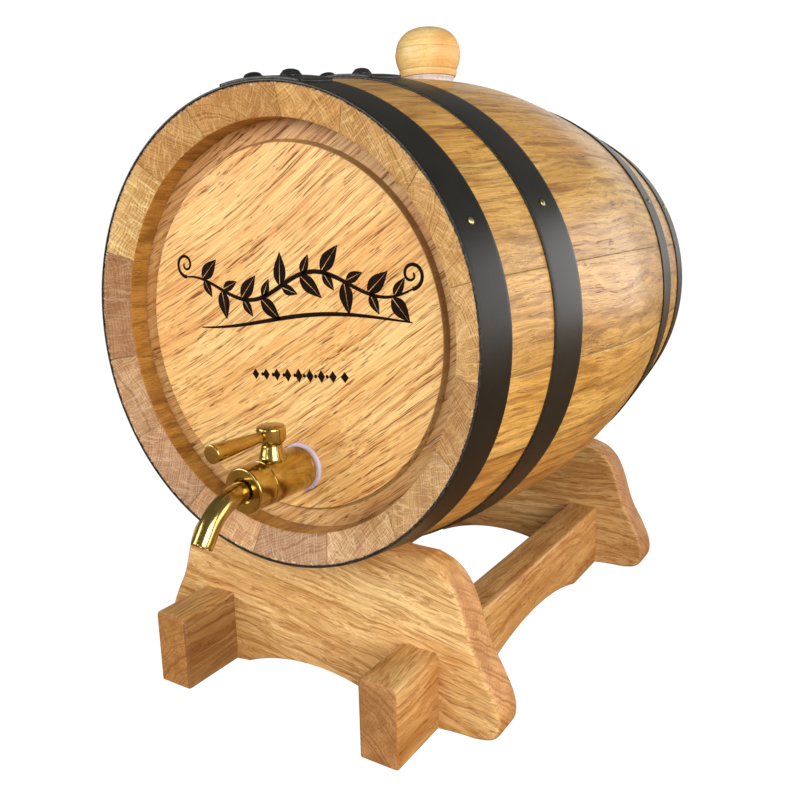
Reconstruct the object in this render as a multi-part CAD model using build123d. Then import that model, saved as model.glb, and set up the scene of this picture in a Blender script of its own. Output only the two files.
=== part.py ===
from build123d import *
import os
import math

# Ten-litre oak wine barrel lying on a cradle stand, with a lever tap in the front
# head and a knobbed bung in the top.  Millimetres, +Z up.  The origin is on the
# ground plane, below the barrel axis at half length.  The front head faces -Y.
# Angles about the barrel axis are in degrees from +X towards +Z.

os.makedirs("parts", exist_ok=True)

# ---------------------------------------------------------------- barrel dimensions
AXIS_Z = 199.5          # height of the barrel axis above the ground
LENGTH = 321.3          # stave length, chime to chime
BACK = LENGTH / 2
FRONT = -BACK
END_R = 115.0           # outer radius at the stave ends
BILGE_R = 131.4         # outer radius at half length
BARREL_TOP = AXIS_Z + BILGE_R
PROFILE_POWER = 1.22    # 1 = two cones, 2 = plain arc
PROFILE_SOFTNESS = 0.12  # rounds the profile at half length
PROFILE_STEPS = 16

# heads, shared with the tap
CROZE_DEPTH = 18.0      # distance from the chime to the croze groove
CROZE_R = 104.8
CHIME_R = 100.4         # inner radius at the stave ends
FIELD_DEPTH = 15.0      # chime to the raised field of the head
HEAD_T = 18.0           # full thickness of a head
CROZE_Y = FRONT + CROZE_DEPTH
FIELD_Y = FRONT + FIELD_DEPTH
HEAD_INSIDE_Y = FIELD_Y + HEAD_T

# tap position
TAP_X = 7.5             # tap axis, beside the barrel's centre plane
TAP_Z = 131.9
TAP_STEM_Y = -167.5
TAP_SHANK_R = 7.9


# ---------------------------------------------------------------- helpers
def save(name, shape):
    """Write one part; a lone solid is written without its wrapper."""
    solids = shape.solids()
    export_step(solids[0] if len(solids) == 1 else shape, "parts/%s.step" % name)


def group(shapes):
    solids = []
    for shape in shapes:
        solids += list(shape.solids())
    return Compound(children=solids)


def polygon_face(points):
    return make_face(Polyline(*points, close=True)).faces()[0]


def edge_face(edges):
    return make_face(edges).faces()[0]


def barrel_turning(face, start=0.0, end=360.0):
    """Revolve a (radius, y) face about the barrel axis between two angles."""
    body = revolve(face, axis=Axis.Y, revolution_arc=end - start)
    return Pos(0, 0, AXIS_Z) * (Rot(0, -end, 0) * body)


def rod_outline(radius, start, end):
    return [(0, start), (radius, start), (radius, end), (0, end)]


def tap_turning(points, z=TAP_Z):
    """Revolve (radius, y) points about a line along Y in the tap's centre plane."""
    return Pos(TAP_X, 0, z) * revolve(polygon_face(points), axis=Axis.Y)


def tap_rod(radius, start, end, z=TAP_Z):
    return tap_turning(rod_outline(radius, start, end), z)


def upright_turning(points, x=0.0, y=0.0, base=0.0):
    """Revolve (radius, height above base) points about a vertical line."""
    face = polygon_face([(radius, 0, base + height) for radius, height in points])
    return Pos(x, y, 0) * revolve(face, axis=Axis.Z)


def upright_rod(radius, low, high, x=0.0, y=0.0, base=0.0):
    return upright_turning(rod_outline(radius, low, high), x, y, base)


def stem_turning(points):
    """Revolve (radius, height above the tap axis) points about the tap stem."""
    return upright_turning(points, TAP_X, TAP_STEM_Y, TAP_Z)


def stem_rod(radius, low, high):
    return stem_turning(rod_outline(radius, low, high))


def place_radially(shape, y, angle):
    """Swing an upright shape about the barrel axis to an angle, at y."""
    return Pos(0, y, AXIS_Z) * (Rot(0, 90 - angle, 0) * shape)


# ---------------------------------------------------------------- barrel envelope
def outer_r(y):
    """Outer radius of the barrel at y, a soft-nosed cone profile."""
    soft = PROFILE_SOFTNESS
    station = abs(2 * y / LENGTH)
    power = PROFILE_POWER / 2
    flat = soft ** (2 * power)
    fall = ((station * station + soft * soft) ** power - flat) / (
        (1 + soft * soft) ** power - flat)
    return BILGE_R - (BILGE_R - END_R) * fall


outer_stations = [FRONT + LENGTH * i / PROFILE_STEPS for i in range(PROFILE_STEPS + 1)]
outer_points = [(outer_r(y), y) for y in outer_stations]


def envelope(extra=0.0):
    """Solid of the whole barrel shape, grown by extra on the radius."""
    points = [(radius + extra, y) for radius, y in outer_points]
    return barrel_turning(edge_face([
        Spline(*points), Line(points[-1], (0, BACK)), Line((0, BACK), (0, FRONT)),
        Line((0, FRONT), points[0])]))


# ---------------------------------------------------------------- hoop fittings
HOOP_T = 1.0            # hoop iron
LAP_T = 1.2             # the lapped end lying on the hoop
END_HOOP_W = 23.2
QUARTER_HOOP = (60.5, 87.4)   # edges, from the chime

# name, front edge y, rear edge y, lap angles, rivet angles, nail angles
HOOPS = (
    ("end_hoop_front", FRONT, FRONT + END_HOOP_W,
     (75.0, 99.5), (82.7, 93.6), (26.55, 151.8)),
    ("quarter_hoop_front", FRONT + QUARTER_HOOP[0], FRONT + QUARTER_HOOP[1],
     (77.5, 102.5), (85.0, 95.0), (28.2, 151.8)),
    ("quarter_hoop_rear", BACK - QUARTER_HOOP[1], BACK - QUARTER_HOOP[0],
     (77.5, 102.5), (85.0, 95.0), (28.2, 151.8)),
    ("end_hoop_rear", BACK - END_HOOP_W, BACK,
     (78.0, 104.0), (86.5, 97.0), (28.2, 151.8)),
)

NAIL_HEAD_R = 1.8
NAIL_SHANK_R = 0.8
NAIL_LENGTH = 11.0
NAIL_POINT = 1.5        # length of the tapered tip


def hoop_nail(y, angle):
    """Domed head on the hoop, shank through the hoop into the stave."""
    seat_r = outer_r(y) + HOOP_T
    head = upright_turning([
        (0, 0), (NAIL_HEAD_R, 0), (NAIL_HEAD_R, 0.25), (NAIL_HEAD_R * 0.8, 0.62),
        (NAIL_HEAD_R * 0.42, 0.85), (0, 0.92)], base=seat_r)
    shank = upright_turning([
        (0, 0), (NAIL_SHANK_R, 0), (NAIL_SHANK_R, NAIL_POINT - NAIL_LENGTH),
        (0, -NAIL_LENGTH)], base=seat_r)
    return place_radially(head + shank, y, angle)


nail_places = [((front + rear) / 2, angle)
               for _, front, rear, _, _, angles in HOOPS for angle in angles]
nails = [hoop_nail(y, angle) for y, angle in nail_places]
save("hoop_nails", group(nails))

RIVET_DOME_R = 4.2
RIVET_FLANGE_R = 5.0
RIVET_FLANGE_T = 0.95
RIVET_HEAD_H = 2.9
RIVET_SHANK_R = 2.0
RIVET_SINK = 0.05       # head let into the lap
RIVET_SHANK_SHORT = 0.3  # shank stops short of the two iron thicknesses
DOME_STEPS = 6


def hoop_rivet(y, angle):
    """Domed rivet closing the lapped hoop ends."""
    seat_r = outer_r(y) + HOOP_T + LAP_T - RIVET_SINK
    points = [(0, 0), (RIVET_FLANGE_R, 0), (RIVET_FLANGE_R - 0.1, 0.5),
              (RIVET_DOME_R, RIVET_FLANGE_T)]
    for i in range(1, DOME_STEPS):
        turn = math.radians(90.0 * i / DOME_STEPS)
        points.append((RIVET_DOME_R * math.cos(turn),
                       RIVET_FLANGE_T + (RIVET_HEAD_H - RIVET_FLANGE_T) * math.sin(turn)))
    points.append((0, RIVET_HEAD_H))
    head = upright_turning(points, base=seat_r)
    shank = upright_rod(RIVET_SHANK_R, 0, RIVET_SHANK_SHORT - LAP_T - HOOP_T, base=seat_r)
    return place_radially(head + shank, y, angle)


# ---------------------------------------------------------------- hoops
BAND_INSET = 4.0        # band starts this far inside the barrel, then is cut to it
STRAP_SINK = 0.6        # lap strap starts this far inside the hoop
HOOP_STEPS = 8


def hoop_face(front, rear, inner_offset, outer_offset):
    """Hoop section: outside follows the barrel, inside is straight."""
    stations = [front + (rear - front) * i / HOOP_STEPS for i in range(HOOP_STEPS + 1)]
    top = [(outer_r(y) + outer_offset, y) for y in stations]
    low_front = (outer_r(front) + inner_offset, front)
    low_rear = (outer_r(rear) + inner_offset, rear)
    return edge_face([Spline(*top), Line(top[-1], low_rear), Line(low_rear, low_front),
                      Line(low_front, top[0])])


def hoop(front, rear, lap, hoop_rivets):
    band = barrel_turning(hoop_face(front, rear, -BAND_INSET, HOOP_T)) - barrel_envelope
    strap = barrel_turning(
        hoop_face(front, rear, HOOP_T - STRAP_SINK, HOOP_T + LAP_T), lap[0], lap[1])
    body = band + strap
    for fixing in hoop_rivets + nails:
        body = body - fixing
    return body


barrel_envelope = envelope()
rivets = []
for name, front, rear, lap, rivet_angles, _ in HOOPS:
    hoop_rivets = [hoop_rivet((front + rear) / 2, angle) for angle in rivet_angles]
    rivets += hoop_rivets
    save(name, hoop(front, rear, lap, hoop_rivets))
save("hoop_rivets", group(rivets))

# ---------------------------------------------------------------- bung
BUNG_HOLE_R = 14.85     # at the barrel's surface
BUNG_TAPER = 0.08       # radius lost per mm of depth
BUNG_CLEARANCE = 0.05
KNOB_RISE = 3.0         # underside of the knob above the barrel
KNOB_R = 19.4
PEG_R = 8.0
PEG_LENGTH = 19.0
SEAL_DEPTH = 22.0       # to the start of the bottom chamfer
SEAL_CHAMFER = 1.5

# turned knob: radius, height above its underside
KNOB_PROFILE = (
    (0, 0), (16.3, 0), (16.75, 0.6), (17.25, 3.2), (16.95, 3.75), (17.9, 5.6),
    (18.8, 8.2), (KNOB_R, 11.6), (KNOB_R, 13.2), (19.15, 15.0), (18.75, 15.6),
    (18.85, 16.2), (18.3, 18.6), (17.2, 20.8), (15.4, 23.2), (12.8, 25.4),
    (9.6, 26.9), (5.6, 27.8), (0, 28.1),
)


def bung_r(height):
    """Radius of the bung taper at a height above the barrel top."""
    return BUNG_HOLE_R + height * BUNG_TAPER


def bung_hole(above=8, below=-40):
    """Conical cutter for the hole through the top stave."""
    return upright_turning([
        (0, above), (bung_r(above) + BUNG_CLEARANCE, above),
        (bung_r(below) + BUNG_CLEARANCE, below), (0, below)], base=BARREL_TOP)


def bung_knob():
    knob_z = BARREL_TOP + KNOB_RISE
    knob = upright_turning(KNOB_PROFILE, base=knob_z)
    return knob + upright_rod(PEG_R, -PEG_LENGTH, 0, base=knob_z)


def bung_seal():
    bottom = -SEAL_DEPTH - SEAL_CHAMFER
    seal = upright_turning([
        (0, KNOB_RISE), (15.7, KNOB_RISE), (15.3, KNOB_RISE - 1.0), (bung_r(0.6), 0.6),
        (bung_r(-SEAL_DEPTH), -SEAL_DEPTH), (bung_r(-SEAL_DEPTH) - SEAL_CHAMFER, bottom),
        (0, bottom)], base=BARREL_TOP)
    return seal - upright_rod(PEG_R, KNOB_RISE - PEG_LENGTH, KNOB_RISE + 5, base=BARREL_TOP)


save("bung_knob", bung_knob())
save("bung_seal", bung_seal())

# ---------------------------------------------------------------- staves
STAVE_T = 16.0          # stave thickness at the bilge
CHIME_DISH = 6.8        # how far the end grain leans in, outer to inner edge
CROZE_W = 5.4
INNER_START_R = CHIME_R + 0.9   # ends of the curved inner face
INNER_START_Y = FRONT + 34.0
INNER_STATIONS = (-95.0, -60.0, -30.0, 0.0, 30.0, 60.0, 95.0)

# angles of the stave joints
SEAMS = (-7.0, 14.5, 40.0, 64.0, 83.0, 111.0, 133.0, 160.0,
         190.0, 213.0, 238.0, 262.0, 286.0, 309.0, 333.0)


def stave_section():
    inner = [(INNER_START_R, INNER_START_Y)]
    inner += [(outer_r(y) - STAVE_T, y) for y in INNER_STATIONS]
    inner.append((INNER_START_R, -INNER_START_Y))
    front_end = [(END_R, FRONT), (CHIME_R, FRONT + CHIME_DISH),
                 (CHIME_R, CROZE_Y), (CROZE_R, CROZE_Y),
                 (CROZE_R, CROZE_Y + CROZE_W), (CHIME_R, CROZE_Y + CROZE_W), inner[0]]
    back_end = [(radius, -y) for radius, y in front_end]
    return edge_face([Spline(*outer_points), Spline(*inner),
                      Polyline(*front_end), Polyline(*back_end)])


def stave(section, start, end):
    body = barrel_turning(section, start, end)
    if start < 90 < end:
        body = body - bung_hole()
    for nail, (_, angle) in zip(nails, nail_places):
        if start < angle < end:
            body = body - nail
    return body


section = stave_section()
seam_ends = SEAMS[1:] + (SEAMS[0] + 360.0,)
for number, (start, end) in enumerate(zip(SEAMS, seam_ends), 1):
    save("stave_%02d" % number, stave(section, start, end))

# ---------------------------------------------------------------- heads
FIELD_R = 90.0
FIELD_STEP_R = 91.6     # foot of the small step round the field
HEAD_INSIDE_R = 90.0
TONGUE_T = 5.3
TONGUE_R = CROZE_R - 0.3        # clear of the groove bottom
HEAD_NECK_R = CHIME_R - 1.2
GRAIN_ANGLE = 33.0      # lie of the front head boards
BOARD_SPLITS = (-47.0, 0.0, 47.0)
BOARD_REACH = 140.0     # outer limit of the board slabs
DOWEL_R = 2.5
DOWEL_LENGTH = 22.0
DOWEL_OFFSET = 45.0     # along the joint, each side of the middle
DOWEL_Y = (CROZE_Y + HEAD_INSIDE_Y) / 2 + 0.5
TAP_HOLE_CLEARANCE = 0.3

# front head: radius, y
HEAD_POINTS = (
    (0, FIELD_Y), (FIELD_R, FIELD_Y), (FIELD_STEP_R, CROZE_Y), (TONGUE_R, CROZE_Y),
    (TONGUE_R, CROZE_Y + TONGUE_T), (HEAD_NECK_R, CROZE_Y + TONGUE_T),
    (HEAD_INSIDE_R, HEAD_INSIDE_Y), (0, HEAD_INSIDE_Y),
)


def save_head(prefix, points, angle, y_mid, cuts):
    """Split a head along lines at the given angle and dowel the joints."""
    disc = barrel_turning(polygon_face(points))

    def lay(shape):
        return Pos(0, y_mid, AXIS_Z) * (Rot(0, -angle, 0) * shape)

    dowels = [lay(Pos(along, 0, split) * Cylinder(DOWEL_R, DOWEL_LENGTH))
              for split in BOARD_SPLITS for along in (-DOWEL_OFFSET, DOWEL_OFFSET)]
    limits = (-BOARD_REACH,) + BOARD_SPLITS + (BOARD_REACH,)
    for number, (low, high) in enumerate(zip(limits, limits[1:]), 1):
        board = disc & lay(Pos(0, 0, (low + high) / 2) * Box(300, 60, high - low))
        for cutter in dowels + cuts:
            board = board - cutter
        save("%s_board_%d" % (prefix, number), board)
    save(prefix + "_dowels", group(dowels))


tap_hole = tap_rod(TAP_SHANK_R + TAP_HOLE_CLEARANCE, FIELD_Y - 5, HEAD_INSIDE_Y + 5)
save_head("front_head", HEAD_POINTS, GRAIN_ANGLE, DOWEL_Y, [tap_hole])
save_head("rear_head", [(radius, -y) for radius, y in HEAD_POINTS],
          180 - GRAIN_ANGLE, -DOWEL_Y, [])

# ---------------------------------------------------------------- tap body and nozzle
TAP_BODY_R = 11.1
TAP_NOSE_Y = -189.5     # front face of the nozzle
TAP_JOINT_Y = -177.5    # nozzle screwed to the body
TAP_JOINT_BEVEL = 0.25
TAP_NOSE_BEVEL = 0.7
TAP_BORE_R = 3.5
SHANK_END_Y = HEAD_INSIDE_Y + 15.0
SPIGOT_R = 8.0
SPIGOT_END_Y = TAP_JOINT_Y + 3.6
WASHER_R = 12.4
WASHER_T = 1.6
WASHER_BEVEL = 0.5
WASHER_Y = FIELD_Y - WASHER_T
INNER_WASHER_T = 2.0
NUT_R = 13.2            # across corners, as a radius
NUT_T = 6.0
PLUG_R = 6.0
PLUG_CLEARANCE = 0.05

SPOUT_R = 5.1
SPOUT_BORE_R = 4.0
SPOUT_START_Y = TAP_JOINT_Y - 1.5
SPOUT_BEND_Y = -191.0   # start of the bend
SPOUT_BEND_R = 27.0
SPOUT_ANGLE = 54.0
SPOUT_STRAIGHT = 8.0


def tap_body():
    body = tap_turning([
        (0, WASHER_Y), (9.3, WASHER_Y), (10.2, WASHER_Y - 0.4), (10.8, WASHER_Y - 1.2),
        (TAP_BODY_R, WASHER_Y - 2.4), (TAP_BODY_R, TAP_JOINT_Y + TAP_JOINT_BEVEL),
        (TAP_BODY_R - TAP_JOINT_BEVEL, TAP_JOINT_Y), (0, TAP_JOINT_Y)])
    shank = tap_rod(TAP_SHANK_R, WASHER_Y, SHANK_END_Y)
    flow = tap_rod(TAP_BORE_R, TAP_JOINT_Y + 3.5, SHANK_END_Y)
    socket = tap_rod(SPIGOT_R, TAP_JOINT_Y - 1, SPIGOT_END_Y)
    plug_bore = stem_rod(PLUG_R + PLUG_CLEARANCE, -8.0, 20)
    return body + shank - flow - socket - plug_bore


def tap_nozzle():
    nose = tap_turning([
        (0, TAP_JOINT_Y), (TAP_BODY_R - TAP_JOINT_BEVEL, TAP_JOINT_Y),
        (TAP_BODY_R, TAP_JOINT_Y - TAP_JOINT_BEVEL),
        (TAP_BODY_R, TAP_NOSE_Y + TAP_NOSE_BEVEL),
        (TAP_BODY_R - TAP_NOSE_BEVEL, TAP_NOSE_Y), (0, TAP_NOSE_Y)])
    nose = nose + tap_rod(SPIGOT_R, TAP_JOINT_Y - 0.5, SPIGOT_END_Y)
    nose = nose - tap_rod(TAP_BORE_R, TAP_NOSE_Y - 1, TAP_JOINT_Y + 6)
    nose = nose - tap_rod(SPOUT_R, TAP_NOSE_Y - 1, SPOUT_START_Y)
    # wider mouth round the spout
    return nose - tap_rod(SPOUT_R + 0.9, TAP_NOSE_Y - 1, TAP_NOSE_Y + 2.2)


def spout_tube():
    """Tube bent forwards and down, cut square at its outlet."""
    def bend_point(turn):
        return (TAP_X, SPOUT_BEND_Y - SPOUT_BEND_R * math.sin(turn),
                TAP_Z - SPOUT_BEND_R * (1 - math.cos(turn)))

    angle = math.radians(SPOUT_ANGLE)
    start = (TAP_X, SPOUT_START_Y, TAP_Z)
    bend_start = (TAP_X, SPOUT_BEND_Y, TAP_Z)
    bend_end = bend_point(angle)
    outlet = (TAP_X, bend_end[1] - SPOUT_STRAIGHT * math.cos(angle),
              bend_end[2] - SPOUT_STRAIGHT * math.sin(angle))
    path = (Line(start, bend_start) + ThreePointArc(bend_start, bend_point(angle / 2), bend_end)
            + Line(bend_end, outlet))
    ring = Plane(origin=start, z_dir=(0, -1, 0)) * (Circle(SPOUT_R) - Circle(SPOUT_BORE_R))
    return sweep(ring, path=path)


def outer_washer():
    return tap_turning([
        (0, WASHER_Y), (WASHER_R - WASHER_BEVEL, WASHER_Y),
        (WASHER_R, WASHER_Y + WASHER_BEVEL), (WASHER_R, FIELD_Y), (0, FIELD_Y)])


def inner_washer():
    end = HEAD_INSIDE_Y + INNER_WASHER_T
    return tap_turning([
        (0, HEAD_INSIDE_Y), (WASHER_R, HEAD_INSIDE_Y), (WASHER_R, end - WASHER_BEVEL),
        (WASHER_R - WASHER_BEVEL, end), (0, end)])


def lock_nut():
    plane = Plane(origin=(TAP_X, HEAD_INSIDE_Y + INNER_WASHER_T, TAP_Z), z_dir=(0, 1, 0))
    return extrude(plane * (RegularPolygon(NUT_R, 6) - Circle(TAP_SHANK_R)), amount=NUT_T)


save("tap_body", tap_body())
save("tap_nozzle", tap_nozzle())
save("spout_tube", spout_tube())
washer_hole = tap_rod(TAP_SHANK_R, FIELD_Y - 10, HEAD_INSIDE_Y + 10)
save("tap_washer_outer", outer_washer() - washer_hole)
save("tap_washer_inner", inner_washer() - washer_hole)
save("tap_lock_nut", lock_nut())

# ---------------------------------------------------------------- tap stem and lever
# heights in this section are above the tap axis, except LEVER_Z
BONNET_BORE_R = 3.6
STEM_R = 3.5
STEM_TIP_R = 2.5        # end of the stem inside the hub
STEM_TOP = 24.5
GROOVE_R = 2.4
STEM_GROOVES = ((12.4, 13.7), (14.9, 16.2))    # bottom and top of each groove
RING_R = 2.97           # seal rings, centre of section
RING_SECTION_R = 0.57
HUB_R = 7.1
LEVER_Z = 154.3
LEVER_TIP_Y = -207.6
GRUB_R = 1.5
GRUB_SLOT_W = 0.6
LEVER_STUB_R = 1.6

# radius, height
BONNET_PROFILE = ((0, 6), (6.6, 6), (6.6, 10.9), (6.15, 12.6), (5.55, 14.6),
                  (5.1, 16.6), (5.05, 17.2), (0, 17.2))
HUB_PROFILE = (
    (0, 17.7), (5.3, 17.7), (HUB_R - 0.2, 19.4), (HUB_R, 19.8), (HUB_R, 25.2),
    (HUB_R - 0.35, 25.95), (HUB_R - 1.2, 26.35), (4.0, 26.75), (0, 26.95),
)


def bonnet():
    """Flared collar round the stem, seated on the round body."""
    collar = stem_turning(BONNET_PROFILE) - tap_rod(TAP_BODY_R, -200, -140)
    return collar - stem_rod(BONNET_BORE_R, 0, 30)


def tap_plug():
    """Turned plug with a cross port and a grooved stem."""
    points = [(0, -7.9), (PLUG_R - 0.5, -7.9), (PLUG_R, -7.4), (PLUG_R, 8.5), (STEM_R, 8.5)]
    for low, high in STEM_GROOVES:
        points += [(STEM_R, low), (GROOVE_R, low), (GROOVE_R, high), (STEM_R, high)]
    points += [(STEM_R, 17.6), (STEM_TIP_R, 17.6), (STEM_TIP_R, STEM_TOP), (0, STEM_TOP)]
    port = tap_rod(TAP_BORE_R, TAP_STEM_Y - 10, TAP_STEM_Y + 10)
    return stem_turning(points) - port


def stem_rings():
    return group([Pos(TAP_X, TAP_STEM_Y, TAP_Z + (low + high) / 2)
                  * Torus(RING_R, RING_SECTION_R) for low, high in STEM_GROOVES])


def grub_screw():
    """Headless screw behind the stem, slotted across its rear end."""
    screw = tap_rod(GRUB_R, TAP_STEM_Y + 2.5, TAP_STEM_Y + 6.6, LEVER_Z)
    return screw - upright_rod(10, LEVER_Z - GRUB_SLOT_W / 2, LEVER_Z + GRUB_SLOT_W / 2,
                               TAP_X, TAP_STEM_Y + 15.9)


def tap_hub(stub):
    hub = stem_turning(HUB_PROFILE) - stem_rod(STEM_TIP_R, 10, STEM_TOP)
    grub_hole = tap_rod(GRUB_R, TAP_STEM_Y, TAP_STEM_Y + 9, LEVER_Z)
    return hub - stub - grub_hole


def tap_lever(stub):
    """Flaring handle, hollowed to fit the hub, with a stub let into it."""
    lever = tap_turning([
        (0, TAP_STEM_Y - 5.0), (2.35, TAP_STEM_Y - 5.0), (2.45, TAP_STEM_Y - 8.0),
        (4.45, LEVER_TIP_Y + 0.55), (4.1, LEVER_TIP_Y), (0, LEVER_TIP_Y)], LEVER_Z)
    return (lever - stem_rod(HUB_R, 10, 30)) + stub


lever_stub = tap_rod(LEVER_STUB_R, TAP_STEM_Y - 8, TAP_STEM_Y - 3.4, LEVER_Z)
save("tap_bonnet", bonnet())
save("tap_plug", tap_plug())
save("tap_stem_rings", stem_rings())
save("tap_grub_screw", grub_screw())
save("tap_hub", tap_hub(lever_stub))
save("tap_lever", tap_lever(lever_stub))

# ---------------------------------------------------------------- stand
RAILS = (("left_rail", -80.0, -58.2), ("right_rail", 56.2, 78.0))   # name, x range
RAIL_H = 42.0
RAIL_Y = (-172.8, 160.0)
RAIL_ARCH = (-88.0, 58.0, 12.0)     # start y, end y, rise
RAIL_EDGE_R = 1.2
CRADLES = (("front_cradle", -133.6), ("rear_cradle", 101.0))        # name, front face y
CRADLE_T = 20.0
CRADLE_H = 89.0
CRADLE_FOOT_X = 99.0
CRADLE_ARCH = (50.0, 11.0)     # half width and rise between the rails
CRADLE_EDGE_R = 2.6
CRADLE_BEVEL = 1.6
SEAT_CLEARANCE = 0.05
LAP_H = RAIL_H / 2      # half-lap joints between rails and cradles
OVERCUT = 10.0          # joint cutters run past the wood
SCREW_HEAD_R = 4.0
SCREW_HEAD_Z = 1.5
SCREW_R = 2.0

# right-hand side of a cradle board, foot to top: x, z
CRADLE_SIDE = (
    (CRADLE_FOOT_X, 0), (107.1, 2.2), (111.8, 8.0), (112.7, 14.6), (110.9, 22.6),
    (105.4, 34.2), (100.0, 43.8), (96.4, 53.2), (93.6, 62.6), (90.4, 71.4),
    (85.8, 79.4), (79.0, 85.4), (70.0, CRADLE_H),
)


def cradle(y, seat_form, screws):
    half_width, rise = CRADLE_ARCH
    mirrored = [(-x, z) for x, z in CRADLE_SIDE]
    outline = make_face([
        Line((half_width, 0), CRADLE_SIDE[0]), Spline(*CRADLE_SIDE),
        Line(CRADLE_SIDE[-1], mirrored[-1]), Spline(*mirrored[::-1]),
        Line(mirrored[0], (-half_width, 0)),
        ThreePointArc((-half_width, 0), (0, rise), (half_width, 0))])
    plane = Plane(origin=(0, y, 0), x_dir=(1, 0, 0), z_dir=(0, -1, 0))
    board = extrude(plane * outline, amount=-CRADLE_T)
    face_edges = board.edges().filter_by(lambda edge: edge.bounding_box().size.Y < 0.01)
    # bevel the faces if the kernel cannot round every outline edge
    try:
        board = fillet(face_edges, CRADLE_EDGE_R)
    except Exception:
        board = chamfer(face_edges, CRADLE_BEVEL)
    board = board - seat_form
    for _, left, right in RAILS:
        notch = Box(right - left, CRADLE_T + 20, LAP_H + OVERCUT)
        board = board - Pos((left + right) / 2, y + CRADLE_T / 2, (LAP_H - OVERCUT) / 2) * notch
    for screw in screws:
        board = board - screw
    return board


def rail(left, right, cutters):
    front, rear = RAIL_Y
    arch_start, arch_end, rise = RAIL_ARCH
    plane = Plane(origin=(left, 0, 0), x_dir=(0, 1, 0), z_dir=(1, 0, 0))
    outline = make_face([
        Line((front, 0), (arch_start, 0)),
        ThreePointArc((arch_start, 0), ((arch_start + arch_end) / 2, rise), (arch_end, 0)),
        Line((arch_end, 0), (rear, 0)), Line((rear, 0), (rear, RAIL_H)),
        Line((rear, RAIL_H), (front, RAIL_H)), Line((front, RAIL_H), (front, 0))])
    body = extrude(plane * outline, amount=right - left)
    # all edges of the top and of both ends
    rounded = [edge for edge in body.edges() if edge.center().Z > RAIL_H - 0.1
               or abs(edge.center().Y - front) < 0.1 or abs(edge.center().Y - rear) < 0.1]
    body = fillet(rounded, RAIL_EDGE_R)
    for _, y in CRADLES:
        notch = Box(40, CRADLE_T, LAP_H + OVERCUT)
        body = body - Pos((left + right) / 2, y + CRADLE_T / 2,
                          LAP_H + (LAP_H + OVERCUT) / 2) * notch
    for cutter in cutters:
        body = body - cutter
    return body


def stand_screw(x, y):
    """Countersunk screw driven up through a lap joint."""
    return upright_turning([
        (0, SCREW_HEAD_Z), (SCREW_HEAD_R, SCREW_HEAD_Z), (SCREW_HEAD_R, 2.2),
        (SCREW_R, 4.4), (SCREW_R, 38.0), (0, 42.0)], x, y)


joints = [((left + right) / 2, y + CRADLE_T / 2) for _, left, right in RAILS for _, y in CRADLES]
screws = [stand_screw(x, y) for x, y in joints]
screw_wells = [upright_rod(SCREW_HEAD_R, -1, SCREW_HEAD_Z, x, y) for x, y in joints]
seat_form = envelope(SEAT_CLEARANCE)
for name, y in CRADLES:
    save(name, cradle(y, seat_form, screws))
for name, left, right in RAILS:
    save(name, rail(left, right, screws + screw_wells))
save("stand_screws", group(screws))
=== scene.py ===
import math
import random

import bmesh
import bpy
import numpy as np
from mathutils import Matrix, Vector


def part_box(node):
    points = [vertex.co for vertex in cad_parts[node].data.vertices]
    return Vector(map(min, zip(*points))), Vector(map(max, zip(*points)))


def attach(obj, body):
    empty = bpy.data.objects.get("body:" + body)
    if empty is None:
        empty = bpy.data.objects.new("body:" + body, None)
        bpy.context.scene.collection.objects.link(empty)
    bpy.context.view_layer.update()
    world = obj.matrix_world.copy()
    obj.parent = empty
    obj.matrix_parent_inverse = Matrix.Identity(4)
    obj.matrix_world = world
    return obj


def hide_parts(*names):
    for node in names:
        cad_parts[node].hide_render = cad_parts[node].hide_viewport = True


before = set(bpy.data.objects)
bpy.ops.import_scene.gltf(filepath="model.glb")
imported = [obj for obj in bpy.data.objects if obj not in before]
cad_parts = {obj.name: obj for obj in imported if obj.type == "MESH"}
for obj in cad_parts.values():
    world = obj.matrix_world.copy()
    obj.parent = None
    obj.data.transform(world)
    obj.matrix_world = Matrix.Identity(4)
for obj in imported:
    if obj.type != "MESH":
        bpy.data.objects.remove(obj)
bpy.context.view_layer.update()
scene = bpy.context.scene
MM = 0.001
rng = random.Random(11)


# ------------------------------------------------------------------ CAD anchors (mm)
def nbox(*names):
    los = [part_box(n)[0] for n in names]
    his = [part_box(n)[1] for n in names]
    return (np.array(los).min(0) * 1000.0, np.array(his).max(0) * 1000.0)


STAVES = ["stave_%02d" % i for i in range(1, 16)]
FHEAD = ["front_head_board_%d" % i for i in range(1, 5)]
RHEAD = ["rear_head_board_%d" % i for i in range(1, 5)]
s_lo, s_hi = nbox(*STAVES)
h_lo, h_hi = nbox(*FHEAD)
AX = round(float(h_lo[0] + h_hi[0]) / 2, 2)          # barrel axis
AZ = round(float(h_lo[2] + h_hi[2]) / 2, 2)
HALF = float(s_hi[1] - s_lo[1]) / 2
FRONT = float(s_lo[1])
LENGTH = 2 * HALF
R_BILGE = round(float(s_hi[0] - s_lo[0]) / 2, 1)
R_HEAD = 115.0
Y_FIELD = float(h_lo[1])                              # face of the front head
t_lo, t_hi = nbox("tap_body")
TX = round(float(t_lo[0] + t_hi[0]) / 2, 2)
TZ = round(float(t_lo[2] + t_hi[2]) / 2, 2)
u_lo, u_hi = nbox("tap_hub")
SX = round(float(u_lo[0] + u_hi[0]) / 2, 2)
SY = round(float(u_lo[1] + u_hi[1]) / 2, 2)
n_lo, n_hi = nbox("tap_nozzle")
l_lo, l_hi = nbox("tap_lever")
k_lo, k_hi = nbox("bung_knob")
KX, KY = round(float(k_lo[0] + k_hi[0]) / 2, 2), round(float(k_lo[1] + k_hi[1]) / 2, 2)
c1_lo, c1_hi = nbox("front_cradle")
c2_lo, c2_hi = nbox("rear_cradle")
r1_lo, r1_hi = nbox("right_rail")
r0_lo, r0_hi = nbox("left_rail")


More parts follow.
